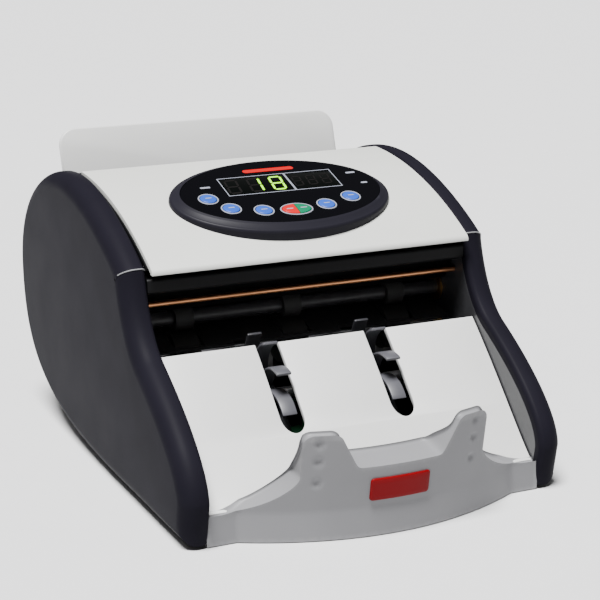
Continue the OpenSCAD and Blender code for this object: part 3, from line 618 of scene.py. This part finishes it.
def deckDegrees(y):
    return math.degrees(math.acos((y - deck["centreY"]) / deck["radius"]))


podTurn = math.radians(deckDegrees(pod["y"]) - 90)
podZ = deck["centreZ"] + deck["radius"] * math.cos(podTurn)


def onPod(point):
    # pod coordinates: x across, y up the slope, z out of the panel
    y = pod["y"] + point[1] * math.cos(podTurn) - point[2] * math.sin(podTurn)
    z = podZ + point[1] * math.sin(podTurn) + point[2] * math.cos(podTurn)
    return fromFront((point[0], y, z))


def ovalRing(halfLength, halfWidth, z, count=144, centreY=0.0):
    return [(halfLength * math.cos(2 * math.pi * i / count),
             centreY + halfWidth * math.sin(2 * math.pi * i / count), z) for i in range(count)]


def ovalBody(name, stations, count=144, centreY=0.0, capped=True):
    rings = [ovalRing(a, b, z, count, centreY) for a, b, z in stations]
    return meshObject(name, *joined(rings, capped), place=onPod)


def topPanel():
    frontDegrees = deckDegrees(deck["front"])
    centre = (deck["centreY"], deck["centreZ"])
    rollCentre = (centre[0] + (deck["radius"] - deck["roll"]) * math.cos(math.radians(frontDegrees)),
                  centre[1] + (deck["radius"] - deck["roll"]) * math.sin(math.radians(frontDegrees)))
    path = arc(centre, deck["radius"], deckDegrees(deck["back"]), frontDegrees, 72)
    path += arc(rollCentre, deck["roll"], frontDegrees + 8, 190, 16)
    outline = thickened(path, -deck["thickness"])
    width = halfBay - deck["sideGap"] + 0.3
    panel = acrossMachine("topPanelSkin", outline, -width, width)
    softened(panel, 0.7, 4)
    holeLong, holeShort = pod["halfLength"] - pod["holeInset"], pod["halfWidth"] - pod["holeInset"]
    hole = ovalBody("podHole", [(holeLong, holeShort, z) for z in (-20, 20)])
    cutAway(panel, hole)
    finishPiece(panel, finish["panel"], stands=["top_panel"], sharp=32)


def controlBezel():
    # each station is a height and how far the oval there lies inside the outer one
    h, rim, skirt, step = pod["height"], pod["rim"], pod["skirt"], pod["step"]
    side, lipTop = h - pod["shoulderDrop"], h - pod["lipDrop"]
    section = [(0, skirt), (0, side)]
    for i in range(1, 9):
        t = math.radians(i * 90 / 8)
        section.append((pod["shoulderIn"] * (1 - math.cos(t)), side + pod["shoulderUp"] * math.sin(t)))
    section.append((rim - 1.6, lipTop))
    for i in range(1, 7):
        t = math.radians(i * 90 / 6)
        section.append((rim - 1.55 + pod["lipIn"] * math.sin(t), lipTop + pod["lipDrop"] * math.sin(t)))
    stepTop = h - pod["stepDrop"]
    section += [(rim, h - 0.15), (rim, stepTop), (rim + step, stepTop), (rim + step, skirt)]
    stations = [(pod["halfLength"] - inside, pod["halfWidth"] - inside, z) for inside, z in section]
    bezel = ovalBody("controlBezelRing", stations + [stations[0]], capped=False)
    finishPiece(bezel, finish["bezel"], stands=["control_bezel"], sharp=50)


keys = {"radius": 4.5, "gap": 0.3, "splitY": -20.5, "splitLong": 8.2, "splitShort": 5.0, "foot": 0.4,
        "proud": 0.7, "places": [(-42.9, -2.0), (-34.5, -13.8), (-17.9, -18.6), (18.4, -18.3), (35.2, -12.7)]}
window = {"left": -30.5, "right": 36.0, "bottom": -0.9, "top": 18.3, "divider": 8.5}


def shiftedTo(u, v):
    return lambda p: onPod((p[0] + u, p[1] + v, p[2]))


def keyFascia():
    a, b = pod["halfLength"] - pod["rim"] - 0.1, pod["halfWidth"] - pod["rim"] - 0.1
    top, bottom = pod["height"] - pod["faceDrop"], pod["height"] - pod["faceDrop"] - pod["faceThick"]
    face = ovalBody("keyFasciaPlate", [(a, b, bottom), (a, b, top - 0.25), (a - 0.25, b - 0.25, top)])
    gap, ends = keys["gap"], (-20, 20)
    cutters = [turned("keyHole", [(keys["radius"] + gap, z) for z in ends], 72, shiftedTo(*place))
               for place in keys["places"]]
    split = [(keys["splitLong"] + gap, keys["splitShort"] + gap, z) for z in ends]
    cutters.append(ovalBody("splitHole", split, 96, keys["splitY"]))
    cutters.append(slab("windowHole", (window["left"], window["bottom"], -20),
                        (window["right"], window["top"], 20), onPod))
    cutAway(face, *cutters)
    finishPiece(face, finish["fascia"], stands=["key_fascia"], sharp=30)


def keyRing(name, stations, count, centreY=0.0, place=onPod):
    rings = [ovalRing(a, b, z, count, centreY) for a, b, z in stations]
    ring = meshObject(name, *joined(rings + [rings[0]], capped=False), place=place)
    finishPiece(ring, finish["print"])


def ringStations(longHalf, shortHalf):
    top = pod["height"] - pod["faceDrop"]
    inner, outer = keys["gap"] + 0.02, keys["gap"] + 0.75
    steps = [(inner, -0.5), (inner, 0.16), (inner + 0.14, 0.3), (outer - 0.2, 0.3), (outer, 0.1),
             (outer, -0.02), (inner + 0.1, -0.02), (inner + 0.1, -0.5)]
    return [(longHalf + grow, shortHalf + grow, top + z) for grow, z in steps]


def roundKey(number, place):
    r, top = keys["radius"], pod["height"] + keys["proud"]
    cap = [(0, keys["foot"]), (r + 0.5, keys["foot"]), (r + 0.5, 1.4), (r, 1.4), (r, top - 0.75)]
    for t in (math.radians(degrees) for degrees in (20, 45, 70, 90)):
        cap.append((r - 0.75 * (1 - math.cos(t)), top - 0.75 + 0.6 * math.sin(t)))
    cap += [(r * 0.62, top - 0.03), (r * 0.3, top), (0, top)]
    key = turned(f"keyCap{number}", cap, 72, shiftedTo(*place))
    finishPiece(key, finish["blueKey"], f"key_{number}", [f"key_{number}"], 40)
    pillMark(f"keyMark{number}", place, 1.8, 0.38, top + 0.02, f"key_{number}")
    keyRing(f"keyRing{number}", ringStations(r, r), 72, place=shiftedTo(*place))


def pillMark(name, centre, halfLong, halfHigh, z, body="root", material="print"):
    thick = 0.06
    outline = arc((halfLong - halfHigh, 0), halfHigh, -90, 90, 10)
    outline += arc((halfHigh - halfLong, 0), halfHigh, 90, 270, 10)
    rings = [[(u, v, z + lift) for u, v in outline] for lift in (-thick, thick * 0.5)]
    mark = meshObject(name, *joined(rings), place=shiftedTo(*centre))
    finishPiece(mark, finish[material], body)


def splitKey(label, side, material):
    a, b, top = keys["splitLong"], keys["splitShort"], pod["height"] + keys["proud"]
    stations = [(a + 0.5, b + 0.5, keys["foot"]), (a + 0.5, b + 0.5, 1.4), (a, b, 1.4), (a, b, top - 0.75),
                (a - 0.1, b - 0.1, top - 0.42), (a - 0.4, b - 0.4, top - 0.17),
                (a - 0.85, b - 0.85, top - 0.08), (a * 0.5, b * 0.5, top - 0.02)]
    cap = ovalBody(f"{label}Cap", stations, 128, keys["splitY"])
    away = -side
    spare = slab("spare", (min(away * 30, -away * 0.2), keys["splitY"] - 20, -20),
                 (max(away * 30, -away * 0.2), keys["splitY"] + 20, 20), onPod)
    cutAway(cap, spare)
    softened(cap, 0.15, 2, 50)
    finishPiece(cap, finish[material], f"{label}_key", [f"{label}_key"], 45)
    pillMark(f"{label}Mark", (side * 4.0, keys["splitY"]), 1.9, 0.42, top - 0.02, f"{label}_key")


def segmentBar(u, v, long, wide, upright, slant):
    half = wide / 2
    flat = [(-long / 2, 0), (-long / 2 + half, -half), (long / 2 - half, -half), (long / 2, 0),
            (long / 2 - half, half), (-long / 2 + half, half)]
    points = [(p[1], p[0]) for p in flat] if upright else flat
    return [(u + p[0] + (v + p[1]) * slant, v + p[1]) for p in points]


digits = {"width": 6.4, "height": 13.4, "stroke": 1.2, "slant": 0.09, "pitch": 12.9, "middle": 8.7,
          "smallShare": 0.72, "shown": ["", "1", "8"], "segments": {"1": "bc", "8": "abcdefg", "": ""}}


def digitSegments(centreU, shown, share=1.0):
    w, h, s = digits["width"] * share, digits["height"] * share, digits["stroke"] * share
    quarter, reach = h / 4, h / 2 - s * 0.2
    bars = {"a": (0, h / 2, w, False), "g": (0, 0, w, False), "d": (0, -h / 2, w, False),
            "b": (w / 2, quarter, reach, True), "c": (w / 2, -quarter, reach, True),
            "f": (-w / 2, quarter, reach, True), "e": (-w / 2, -quarter, reach, True)}
    lit, unlit = [], []
    for name, (u, v, long, upright) in bars.items():
        outline = segmentBar(u, v, long - 0.35, s, upright, digits["slant"])
        (lit if name in digits["segments"][shown] else unlit).append(
            [(p[0] + centreU, p[1] + digits["middle"]) for p in outline])
    return lit, unlit


def segmentPiece(name, outlines, material):
    base = pod["height"] - 0.2
    parts = []
    for outline in outlines:
        rings = [[(u, v, base + lift) for u, v in outline] for lift in (-0.1, 0.05)]
        parts.append(meshObject("bar", *joined(rings), place=onPod))
    finishPiece(merged(name, parts), finish[material])


def rectangleLine(name, left, bottom, right, top, wide):
    z = pod["height"] - pod["faceDrop"]
    corners = [(left, bottom), (right, bottom), (right, top), (left, top)]
    grown = [(left - wide, bottom - wide), (right + wide, bottom - wide), (right + wide, top + wide),
             (left - wide, top + wide)]
    rings = [[(*c, z - 0.05) for c in grown], [(*c, z + 0.06) for c in grown],
             [(*c, z + 0.06) for c in corners], [(*c, z - 0.05) for c in corners]]
    line = meshObject(name, *joined(rings + [rings[0]], capped=False), place=onPod)
    finishPiece(line, finish["print"])


def displays():
    w = window
    glass = slab("displayGlass", (w["left"] + 0.1, w["bottom"] + 0.1, pod["height"] - 1.5),
                 (w["right"] - 0.1, w["top"] - 0.1, pod["height"] - 0.2), onPod)
    softened(glass, 0.15, 2)
    finishPiece(glass, finish["window"], stands=["display_window"])
    rectangleLine("countFrame", w["left"] + 0.4, w["bottom"] + 0.4, w["divider"] - 0.5, w["top"] - 0.4, 0.42)
    rectangleLine("batchFrame", w["divider"] + 0.5, w["bottom"] + 0.4, w["right"] - 0.4, w["top"] - 0.4, 0.42)
    lit, unlit = [], []
    countMiddle = (w["left"] + w["divider"]) / 2
    batchMiddle = (w["divider"] + w["right"]) / 2
    small = digits["smallShare"]
    places = [(countMiddle + (i - 1) * digits["pitch"] - 0.7, shown, 1.0)
              for i, shown in enumerate(digits["shown"])]
    places += [(batchMiddle + (i - 1) * digits["pitch"] * small * 0.9 - 0.7, "", small) for i in range(3)]
    for u, shown, share in places:
        on, off = digitSegments(u, shown, share)
        lit += on
        unlit += off
    segmentPiece("litDigits", lit, "lit")
    segmentPiece("unlitDigits", unlit, "unlit")


topPanel()
controlBezel()
keyFascia()
for number, place in enumerate(keys["places"], 1):
    roundKey(number, place)
splitKey("stop", -1, "redKey")
splitKey("start", 1, "greenKey")
keyRing("splitRing", ringStations(keys["splitLong"], keys["splitShort"]), 128, keys["splitY"])
displays()
faceZ = pod["height"] - pod["faceDrop"] + 0.02
labels = [((-40.0, 10.3), 2.9), ((46.5, 12.5), 2.8), ((49.5, 0.5), 1.9)]    # middle and half length
for number, (centre, halfLong) in enumerate(labels, 1):
    pillMark(f"labelMark{number}", centre, halfLong, 0.75, faceZ)
pillMark("topStripe", (1.8, 23.6), 15.0, 1.7, faceZ, material="stripe")
print("top panel and control pod made")


# ---------- stacker bay ----------

crossbar = {"low": (99.4, 106.0), "high": (109.0, 114.0), "round": 1.7, "baffleThick": 1.6,
            "baffle": [(121, 92), (115, 101.3), (108.8, 111)]}
stackerPlate = {"path": [(24.5, 15.4), (36, 24), (58, 50), (88, 76.4)], "thickness": 2.4, "sideGap": 0.4,
                "slotX": 31.0, "slotWidth": 13.0, "slotFrom": 50.0}
tray = {"lean": 10.0, "fingerHeight": 40.5, "fingerX": 32.0, "fingerOut": 48.5, "fingerFoot": 23.0,
        "corner": 4.0, "notch": 22.0, "lipHeight": 14.4, "bow": 20.9, "bowHalf": 76.44, "depth": 19.0,
        "endDepth": 5.0, "taper": 14.0,
        "round": 1.5, "rear": 31.0, "sweepEnd": 84.0, "crease": 2.2}
lean = math.radians(tray["lean"])


def frontCrossbar():
    outline = roundedBox(crossbar["low"], crossbar["high"], crossbar["round"])
    rail = acrossMachine("rail", outline, -halfBay, halfBay)
    sheet = thickened(crossbar["baffle"], -crossbar["baffleThick"])
    baffle = acrossMachine("baffle", sheet, -halfBay, halfBay)
    bar = merged("crossbarRail", [softened(rail, 0.4, 2, 60), softened(baffle, 0.3, 2)])
    finishPiece(bar, finish["black"], stands=["front_crossbar"])


def stackerSheet():
    path = bezier(*stackerPlate["path"], 48, last=True)
    width = halfBay - stackerPlate["sideGap"]
    sheet = acrossMachine("stackerPlateSheet", thickened(path, stackerPlate["thickness"]), -width, width)
    cutters = []
    for side in (-1, 1):
        middle, half = side * stackerPlate["slotX"], stackerPlate["slotWidth"] / 2
        outline = arc((0, stackerPlate["slotFrom"] + half), half, 180, 360, 16)
        outline += [(half, 100.0), (-half, 100.0)]
        rings = [[(middle + u, v, z) for u, v in outline] for z in (30, 95)]
        cutters.append(meshObject("slot", *joined(rings)))
    cutAway(sheet, *cutters)
    softened(sheet, 0.5, 2, 40)
    finishPiece(sheet, finish["plate"], stands=["stacker_plate"], sharp=35)


def lipY(x):
    return tray["bow"] * min(1.0, abs(x) / tray["bowHalf"]) ** 2


def smoothStep(low, high, value):
    t = min(1.0, max(0.0, (value - low) / (high - low)))
    return t * t * (3 - 2 * t)


def wallDepth(x, s):
    # thick at the foot of the fingers, thinner at their tips and towards the ends of the tray
    share = max(0.0, abs(x) - tray["fingerOut"]) / (halfIn - tray["fingerOut"])
    foot = tray["depth"] - (tray["depth"] - tray["endDepth"]) * share ** 0.7
    taper = tray["taper"] * smoothStep(6, 40, s)
    wall = foot - taper * smoothStep(20, 30, abs(x))    # only the fingers taper
    # it stops short of the foot of the stacker plate
    return min(wall, max(3.2, stackerPlate["path"][0][0] - 0.3 + 1.2 * max(0.0, s) - lipY(x)))


def trayFace(x, s, deep=0.0):
    # a point of the tray's front wall: s up the wall from the crease, deep behind its front face
    forward = lipY(x)
    if s <= 0:
        return (x, forward + deep, tray["lipHeight"] + s)
    soft = tray["crease"]
    eased = s if s > soft else s * s / (2 * soft)
    rise = s * math.cos(lean) if s > soft else s - (s - s * math.cos(lean)) * (s / soft)
    out = (eased - (soft / 2 if s > soft else 0)) * math.sin(lean)
    turn = lean * min(1, s / soft)
    return (x, forward - out + deep * math.cos(turn), tray["lipHeight"] + rise + deep * math.sin(turn))


def trayOutline():
    # front view: level between the fingers, the two fingers, then down to the lip at each end
    t = tray
    top = t["fingerHeight"] / math.cos(lean)
    corner = (t["fingerX"] + t["corner"], top - t["corner"])
    right = [(0.0, t["notch"])]
    foot, notch = t["fingerFoot"], t["notch"]
    right += bezier((foot - 5, notch), (foot, notch), (foot + 1, notch), (foot + 4, notch + 6.5), 12)
    right += arc(corner, t["corner"], 158, 90, 12)
    right += arc((t["fingerOut"] - t["corner"], corner[1]), t["corner"], 90, 0, 12)
    right += bezier((t["fingerOut"], 19), (t["fingerOut"] + 2, 12.5), (t["fingerOut"] + 17, 1.5),
                    (t["sweepEnd"], 0.0), 22, last=True)
    right += [(halfBay - 0.3, 0.0), (halfBay - 0.3, machine["groundGap"] - t["lipHeight"])]
    left = [(-x, s) for x, s in right[::-1][:-1]]
    return refined(right + left[:-1], 2.0)


dimples = {"radius": 3.3, "depth": 1.5,
           "places": [(side * 42.0, s) for side in (-1, 1) for s in (38.0, 28.5, 17.0)]}


def dimpleDepth(x, s):
    total = 0.0
    for u, v in dimples["places"]:
        reach = math.hypot((x - u), (s - v)) / dimples["radius"]
        if reach < 1:
            total += dimples["depth"] * (0.5 + 0.5 * math.cos(math.pi * reach))
    return total


def capPoints(outline, spacing):
    # a triangle mesh that fills an outline, with points inside it so that it can follow a curved face
    xs = [p[0] for p in outline]
    ys = [p[1] for p in outline]
    points = [Vector(p) for p in outline]
    edges = [(i, (i + 1) % len(outline)) for i in range(len(outline))]
    tight = inset(outline, 0.6)
    rows = int((max(ys) - min(ys)) / spacing)
    columns = int((max(xs) - min(xs)) / spacing)
    for j in range(1, rows):
        for i in range(1, columns):
            u = min(xs) + i * spacing + (spacing / 2 if j % 2 else 0)
            v = min(ys) + j * spacing
            if insideOutline(tight, u, v):
                points.append(Vector((u, v)))
    verts, _, faces, *_ = delaunay_2d_cdt(points, edges, [], 1, 1e-5)
    return [(v.x, v.y) for v in verts], faces


def insideOutline(outline, u, v):
    inside = False
    for i, (x1, y1) in enumerate(outline):
        x0, y0 = outline[i - 1]
        if (y0 > v) != (y1 > v) and u < (x1 - x0) * (v - y0) / (y1 - y0) + x0:
            inside = not inside
    return inside


def bridgeRings(work, rings):
    count = len(rings[0])
    for a, b in zip(rings, rings[1:]):
        for i in range(count):
            k = (i + 1) % count
            work.faces.new([a[i], a[k], b[k], b[i]])


def faceCap(work, outline, spacing, depthAt):
    # fills an outline on the front wall, at the depth that depthAt gives
    flat, faces = capPoints(outline, spacing)
    verts = [work.verts.new(fromFront(trayFace(x, s, depthAt(x, s)))) for x, s in flat]
    for face in faces:
        work.faces.new([verts[i] for i in face])


def trayWall():
    outline = trayOutline()
    r = tray["round"]
    work = bmesh.new()
    for depthAt in (dimpleDepth, wallDepth):
        faceCap(work, inset(outline, r), 1.5, depthAt)
    # how far in from the outline, how far from the near face, and 0 for the front edge or 1 for the back edge
    quarter = [(r - r * math.sin(t), r - r * math.cos(t)) for t in map(math.radians, (0, 18, 36, 54, 72, 90))]
    steps = [(across, near, 0) for across, near in quarter]
    steps += [(0, 0, share) for share in (0.25, 0.5, 0.75)]
    steps += [(across, near, 1) for near, across in quarter]
    rings = []
    for edge, near, part in steps:
        ring = []
        for x, s in inset(outline, edge):
            whole = wallDepth(x, s)
            deep = near if part == 0 else whole - near if part == 1 else r + (whole - 2 * r) * part
            ring.append(work.verts.new(fromFront(trayFace(x, s, deep))))
        rings.append(ring)
    bridgeRings(work, rings)
    wall = builtObject("wall", work)
    tidyMesh(wall)
    return wall


def trayFloor():
    # the floor of the tray behind the lip, with its side blocks
    t = tray
    edge = [(x, lipY(x) + 3.0) for x in (halfBay * (i / 32 - 1) for i in range(65))]
    outline = edge + [(halfBay - 0.3, t["rear"]), (-halfBay + 0.3, t["rear"])]
    outline[0] = (-halfBay + 0.3, outline[0][1])
    outline[64] = (halfBay - 0.3, outline[64][1])
    rings = [[(x, y, z) for x, y in outline] for z in (machine["groundGap"], t["lipHeight"] - 0.02)]
    floor = meshObject("floor", *joined(rings))
    return softened(floor, 0.5, 3, 50)


def stackerTray():
    body = merged("stackerTrayBody", [trayWall(), trayFloor()])
    finishPiece(body, finish["tray"], stands=["stacker_tray"], sharp=44)


badge = {"half": 16.0, "corner": 1.6, "low": 5.0, "high": 17.0, "thick": 1.1}


def trayBadge():
    thick = badge["thick"]
    outline = roundedBox((-badge["half"], badge["low"]), (badge["half"], badge["high"]), badge["corner"])
    fine = refined(outline, 2.0)
    work = bmesh.new()
    faceCap(work, inset(fine, 0.5), 1.6, lambda x, s: -thick)
    rings = []
    for edge, deep in ((0.5, -thick), (0.15, -thick + 0.15), (0, -thick + 0.5), (0, 0.1)):
        rings.append([work.verts.new(fromFront(trayFace(x, s, deep))) for x, s in inset(fine, edge)])
    bridgeRings(work, rings)
    work.faces.new(rings[-1])
    plate = builtObject("trayBadgePlate", work)
    tidyMesh(plate)
    finishPiece(plate, finish["badge"], stands=["tray_badge"], sharp=50)


vane = {"hub": 9.0, "tip": 33.0, "thickness": 1.5, "width": 9.0, "count": 10, "x": 31.0, "bore": 4.02,
        "sweep": 36.0}


def stackerWheel(side, label):
    axis = (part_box("stacker_shaft")[0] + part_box("stacker_shaft")[1]) / 2
    hub, tip, half = vane["hub"], vane["tip"], vane["width"] / 2

    def aboutAxis(p):
        return Vector((p[0] * mm, p[1] * mm, p[2] * mm))

    swept = math.radians(vane["sweep"])
    end = (tip * math.cos(swept), tip * math.sin(swept))
    path = bezier((hub - 2, 0.7), (18, 1), (27, 8), end, 16, last=True)
    blade = acrossMachine("blade", thickened(path, vane["thickness"]), -half + 0.5, half - 0.5, aboutAxis)
    softened(blade, 0.45, 2)
    shadeSoft(blade)
    repeatedRound(blade, Count=vane["count"], Material=finish["wheel"])
    section = [(-half, vane["bore"]), (-half, hub - 0.8), (-half + 0.8, hub), (half - 0.8, hub),
               (half, hub - 0.8), (half, vane["bore"])]
    turns = [2 * math.pi * i / 64 for i in range(64)]
    rings = [[(x, r * math.cos(t), r * math.sin(t)) for t in turns] for x, r in section]
    core = meshObject("core", *joined(rings + [rings[0]], capped=False), place=aboutAxis)
    wheel = merged(f"{label}VaneWheel", [blade, core])
    wheel.data.transform(Matrix.Translation((side * vane["x"] * mm, axis.y, axis.z)))
    finishPiece(wheel, finish["wheel"], "stacker_rotor", [f"{label}_stacker_wheel"], 35)


frontCrossbar()
stackerSheet()
stackerTray()
trayBadge()
stackerWheel(-1, "left")
stackerWheel(1, "right")
print("stacker bay made")


# ---------- hopper and back ----------

hopper = {"topY": 257.1, "topZ": 165.5, "lean": 18.0, "foot": 120.0, "halfWidth": 86.5, "corner": 10.0,
          "thickness": 3.0}


def hopperPlate():
    turn = math.radians(hopper["lean"])
    height = (hopper["topZ"] - hopper["foot"]) / math.cos(turn)
    half, corner = hopper["halfWidth"], hopper["corner"]
    outline = arc((half - corner, -corner), corner, 0, 90, 14)
    outline += arc((corner - half, -corner), corner, 90, 180, 14) + [(-half, -height), (half, -height)]

    def place(p):
        # p is across, up the plate, and back from its front face
        y = hopper["topY"] + p[1] * math.sin(turn) + p[2] * math.cos(turn)
        z = hopper["topZ"] + p[1] * math.cos(turn) - p[2] * math.sin(turn)
        return fromFront((p[0], y, z))

    thick = hopper["thickness"]
    rounding = [(0.9, 0), (0.25, 0.25), (0, 0.9), (0, thick - 0.9), (0.25, thick - 0.25), (0.9, thick)]
    rings = [[(*p, deep) for p in inset(outline, edge)] for edge, deep in rounding]
    plate = meshObject("hopperPlatePanel", *joined(rings), place=place)
    finishPiece(plate, finish["plate"], stands=["hopper_plate"], sharp=50)


# openings and plates are given as middle x and z, half width, half height and corner radius
rear = {"y": 276.0, "wall": 2.5, "topZ": 131.0,
        "inletHole": (-48.0, 62.0, 14.2, 10.5, 1.0),
        "rockerHole": (-14.0, 62.0, 10.2, 7.2, 1.0),
        "fuseHole": (16.0, 62.0, 6.2, 6.2, 6.19),
        "vents": [(-58 + 15 * i, 97.0, 2.0, 7.0, 1.9) for i in range(9)],
        "rockerFrame": (-14.0, 71.6, 8.0, 1.0, 0.6),
        "rating": (56.0, 64.0, 17.0, 11.0, 1.5),
        "ratingLines": [(56.0, 70.5 - 4.3 * i, reach, 0.7, 0.6) for i, reach in enumerate((13, 13, 9, 11))]}


def rearOutline(shape, edge=0.0):
    x, z, halfWide, halfHigh, radius = shape
    wide, high = halfWide - edge, halfHigh - edge
    return [(x + u, z + v) for u, v in roundedBox((-wide, -high), (wide, high), radius - edge, 6)]


def rearOpening(shape):
    rings = [[(u, y, v) for u, v in rearOutline(shape)] for y in (rear["y"] - 12, rear["y"] + 6)]
    return meshObject("opening", *joined(rings))


def rearCover():
    r = rear
    turn = math.radians(hopper["lean"])
    plateBack = hopper["topY"] + hopper["thickness"] / math.cos(turn)
    topY = plateBack - (hopper["topZ"] - r["topZ"]) * math.tan(turn) + r["wall"] + machine["fit"]
    path = [(244.0, 23.0)]
    path += bezier((r["y"] - 12, 28), (r["y"] - 4, 31), (r["y"], 35), (r["y"], 42), 12, last=True)
    path += [(r["y"], z) for z in (44, 50, 76, 86, 90)]    # rows that keep the flat part's shading flat
    path += bezier((r["y"], 92), (r["y"], 108), (r["y"] - 8, 120), (topY, r["topZ"]), 24, last=True)
    cover = acrossMachine("rearCoverShell", thickened(path, -r["wall"]), -halfBay, halfBay)
    shapes = r["vents"] + [r["inletHole"], r["rockerHole"], r["fuseHole"]]
    cutAway(cover, *[rearOpening(shape) for shape in shapes])
    finishPiece(cover, finish["black"], stands=["rear_cover"], sharp=35)


def raisedPlate(name, shape, thick, material):
    # a thin plate with round corners on the rear cover
    rings = []
    for edge, out in ((0, 0.02), (0, thick - 0.15), (0.15, thick)):
        rings.append([(x, rear["y"] + out, z) for x, z in rearOutline(shape, edge)])
    finishPiece(meshObject(name, *joined(rings)), finish[material])


rearCover()
raisedPlate("ratingPlate", rear["rating"], 0.3, "print")
for number, line in enumerate(rear["ratingLines"], 1):
    raisedPlate(f"ratingLine{number}", line, 0.42, "frame")
raisedPlate("rockerFrame", rear["rockerFrame"], 0.5, "black")
hopperPlate()

caseMaterials = {
    "black": ["base_pan", "top_cover", "key_switches", "hopper_floor", "power_inlet", "fuse_holder",
              "gap_knob"],
    "frame": ["left_side_frame", "right_side_frame", "note_guides", "pinch_shaft"],
    "foot": ["feet"], "copper": ["static_bar"], "board": ["display_board", "main_board"],
    "unlit": ["count_display", "batch_display"],
    "steel": ["stacker_shaft", "transport_shaft", "feed_shaft", "pickup_shaft", "retard_bracket",
              "motor_pulley", "tie_rods"],
    "rubber": ["transport_rollers", "pinch_rollers", "feed_rollers", "pickup_rollers"],
    "nylon": ["stacker_pulley", "transport_pulleys", "feed_pulleys", "pickup_pulley"],
    "retard": ["retard_rollers"], "bronze": ["shaft_bushes"], "motor": ["drive_motor"],
    "belt": ["drive_belts"],
    "core": ["transformer"], "zinc": ["case_screws"], "redKey": ["power_rocker"],
}
for label, members in caseMaterials.items():
    for name in members:
        nodes[name].data.materials.clear()
        nodes[name].data.materials.append(finish[label])
print("hopper and back made")


# ---------- room, light and camera ----------

stage = {"floorSize": 6.0, "floorRows": 24, "floorColumns": 48, "world": 0.15,
         "lampPlace": (-0.9, -0.7, 1.5), "lampAim": (0, 0, 0.05), "lampSize": 0.8, "lampPower": 4.0,
         "skyPower": 14.0, "skyAngle": 22.0, "skyTurn": (11.0, -14.0, 0.0)}    # metres and degrees


def floor():
    size, rowCount, columnCount = stage["floorSize"], stage["floorRows"], stage["floorColumns"]
    work = bmesh.new()
    rows = []
    for j in range(rowCount + 1):
        y = size * (j / rowCount - 0.5)
        rows.append([work.verts.new((size * (i / columnCount - 0.5), y, 0)) for i in range(columnCount + 1)])
    for a, b in zip(rows, rows[1:]):
        for i in range(columnCount):
            work.faces.new([a[i], a[i + 1], b[i + 1], b[i]])
    ground = builtObject("paleFloor", work)
    shadeSoft(ground)
    ground.data.materials.append(finish["bench"])


def lamp(name, kind, power):
    made = linked(name, bpy.data.lights.new(name, kind))
    made.data.energy = power
    return made


def room():
    world = bpy.data.worlds.new("studio")
    world.use_nodes = True
    background = world.node_tree.nodes["Background"]
    background.inputs["Color"].default_value = (1, 1, 1, 1)
    background.inputs["Strength"].default_value = stage["world"]
    bpy.context.scene.world = world
    key = lamp("keyLight", "AREA", stage["lampPower"])
    key.data.size = stage["lampSize"]
    key.location = stage["lampPlace"]
    key.rotation_mode = "QUATERNION"
    key.rotation_quaternion = (Vector(stage["lampAim"]) - Vector(stage["lampPlace"])).to_track_quat("-Z", "Y")
    sky = lamp("skyLight", "SUN", stage["skyPower"])
    sky.data.angle = math.radians(stage["skyAngle"])
    sky.rotation_euler = [math.radians(turn) for turn in stage["skyTurn"]]


view = {"place": (-375.7, -708.2, 335.0), "yaw": 24.55, "pitch": 15.19, "roll": -0.2, "lens": 105.8}


def camera():
    made = linked("viewCamera", bpy.data.cameras.new("viewCamera"))
    made.data.lens = view["lens"]
    made.data.sensor_width = 36.0
    turn = (Matrix.Rotation(-math.radians(view["yaw"]), 4, "Z")
            @ Matrix.Rotation(math.radians(90 - view["pitch"]), 4, "X")
            @ Matrix.Rotation(math.radians(view["roll"]), 4, "Z"))
    made.matrix_world = Matrix.Translation(fromFront(view["place"])) @ turn
    bpy.context.scene.camera = made


floor()
room()
camera()
print("room, light and camera ready")
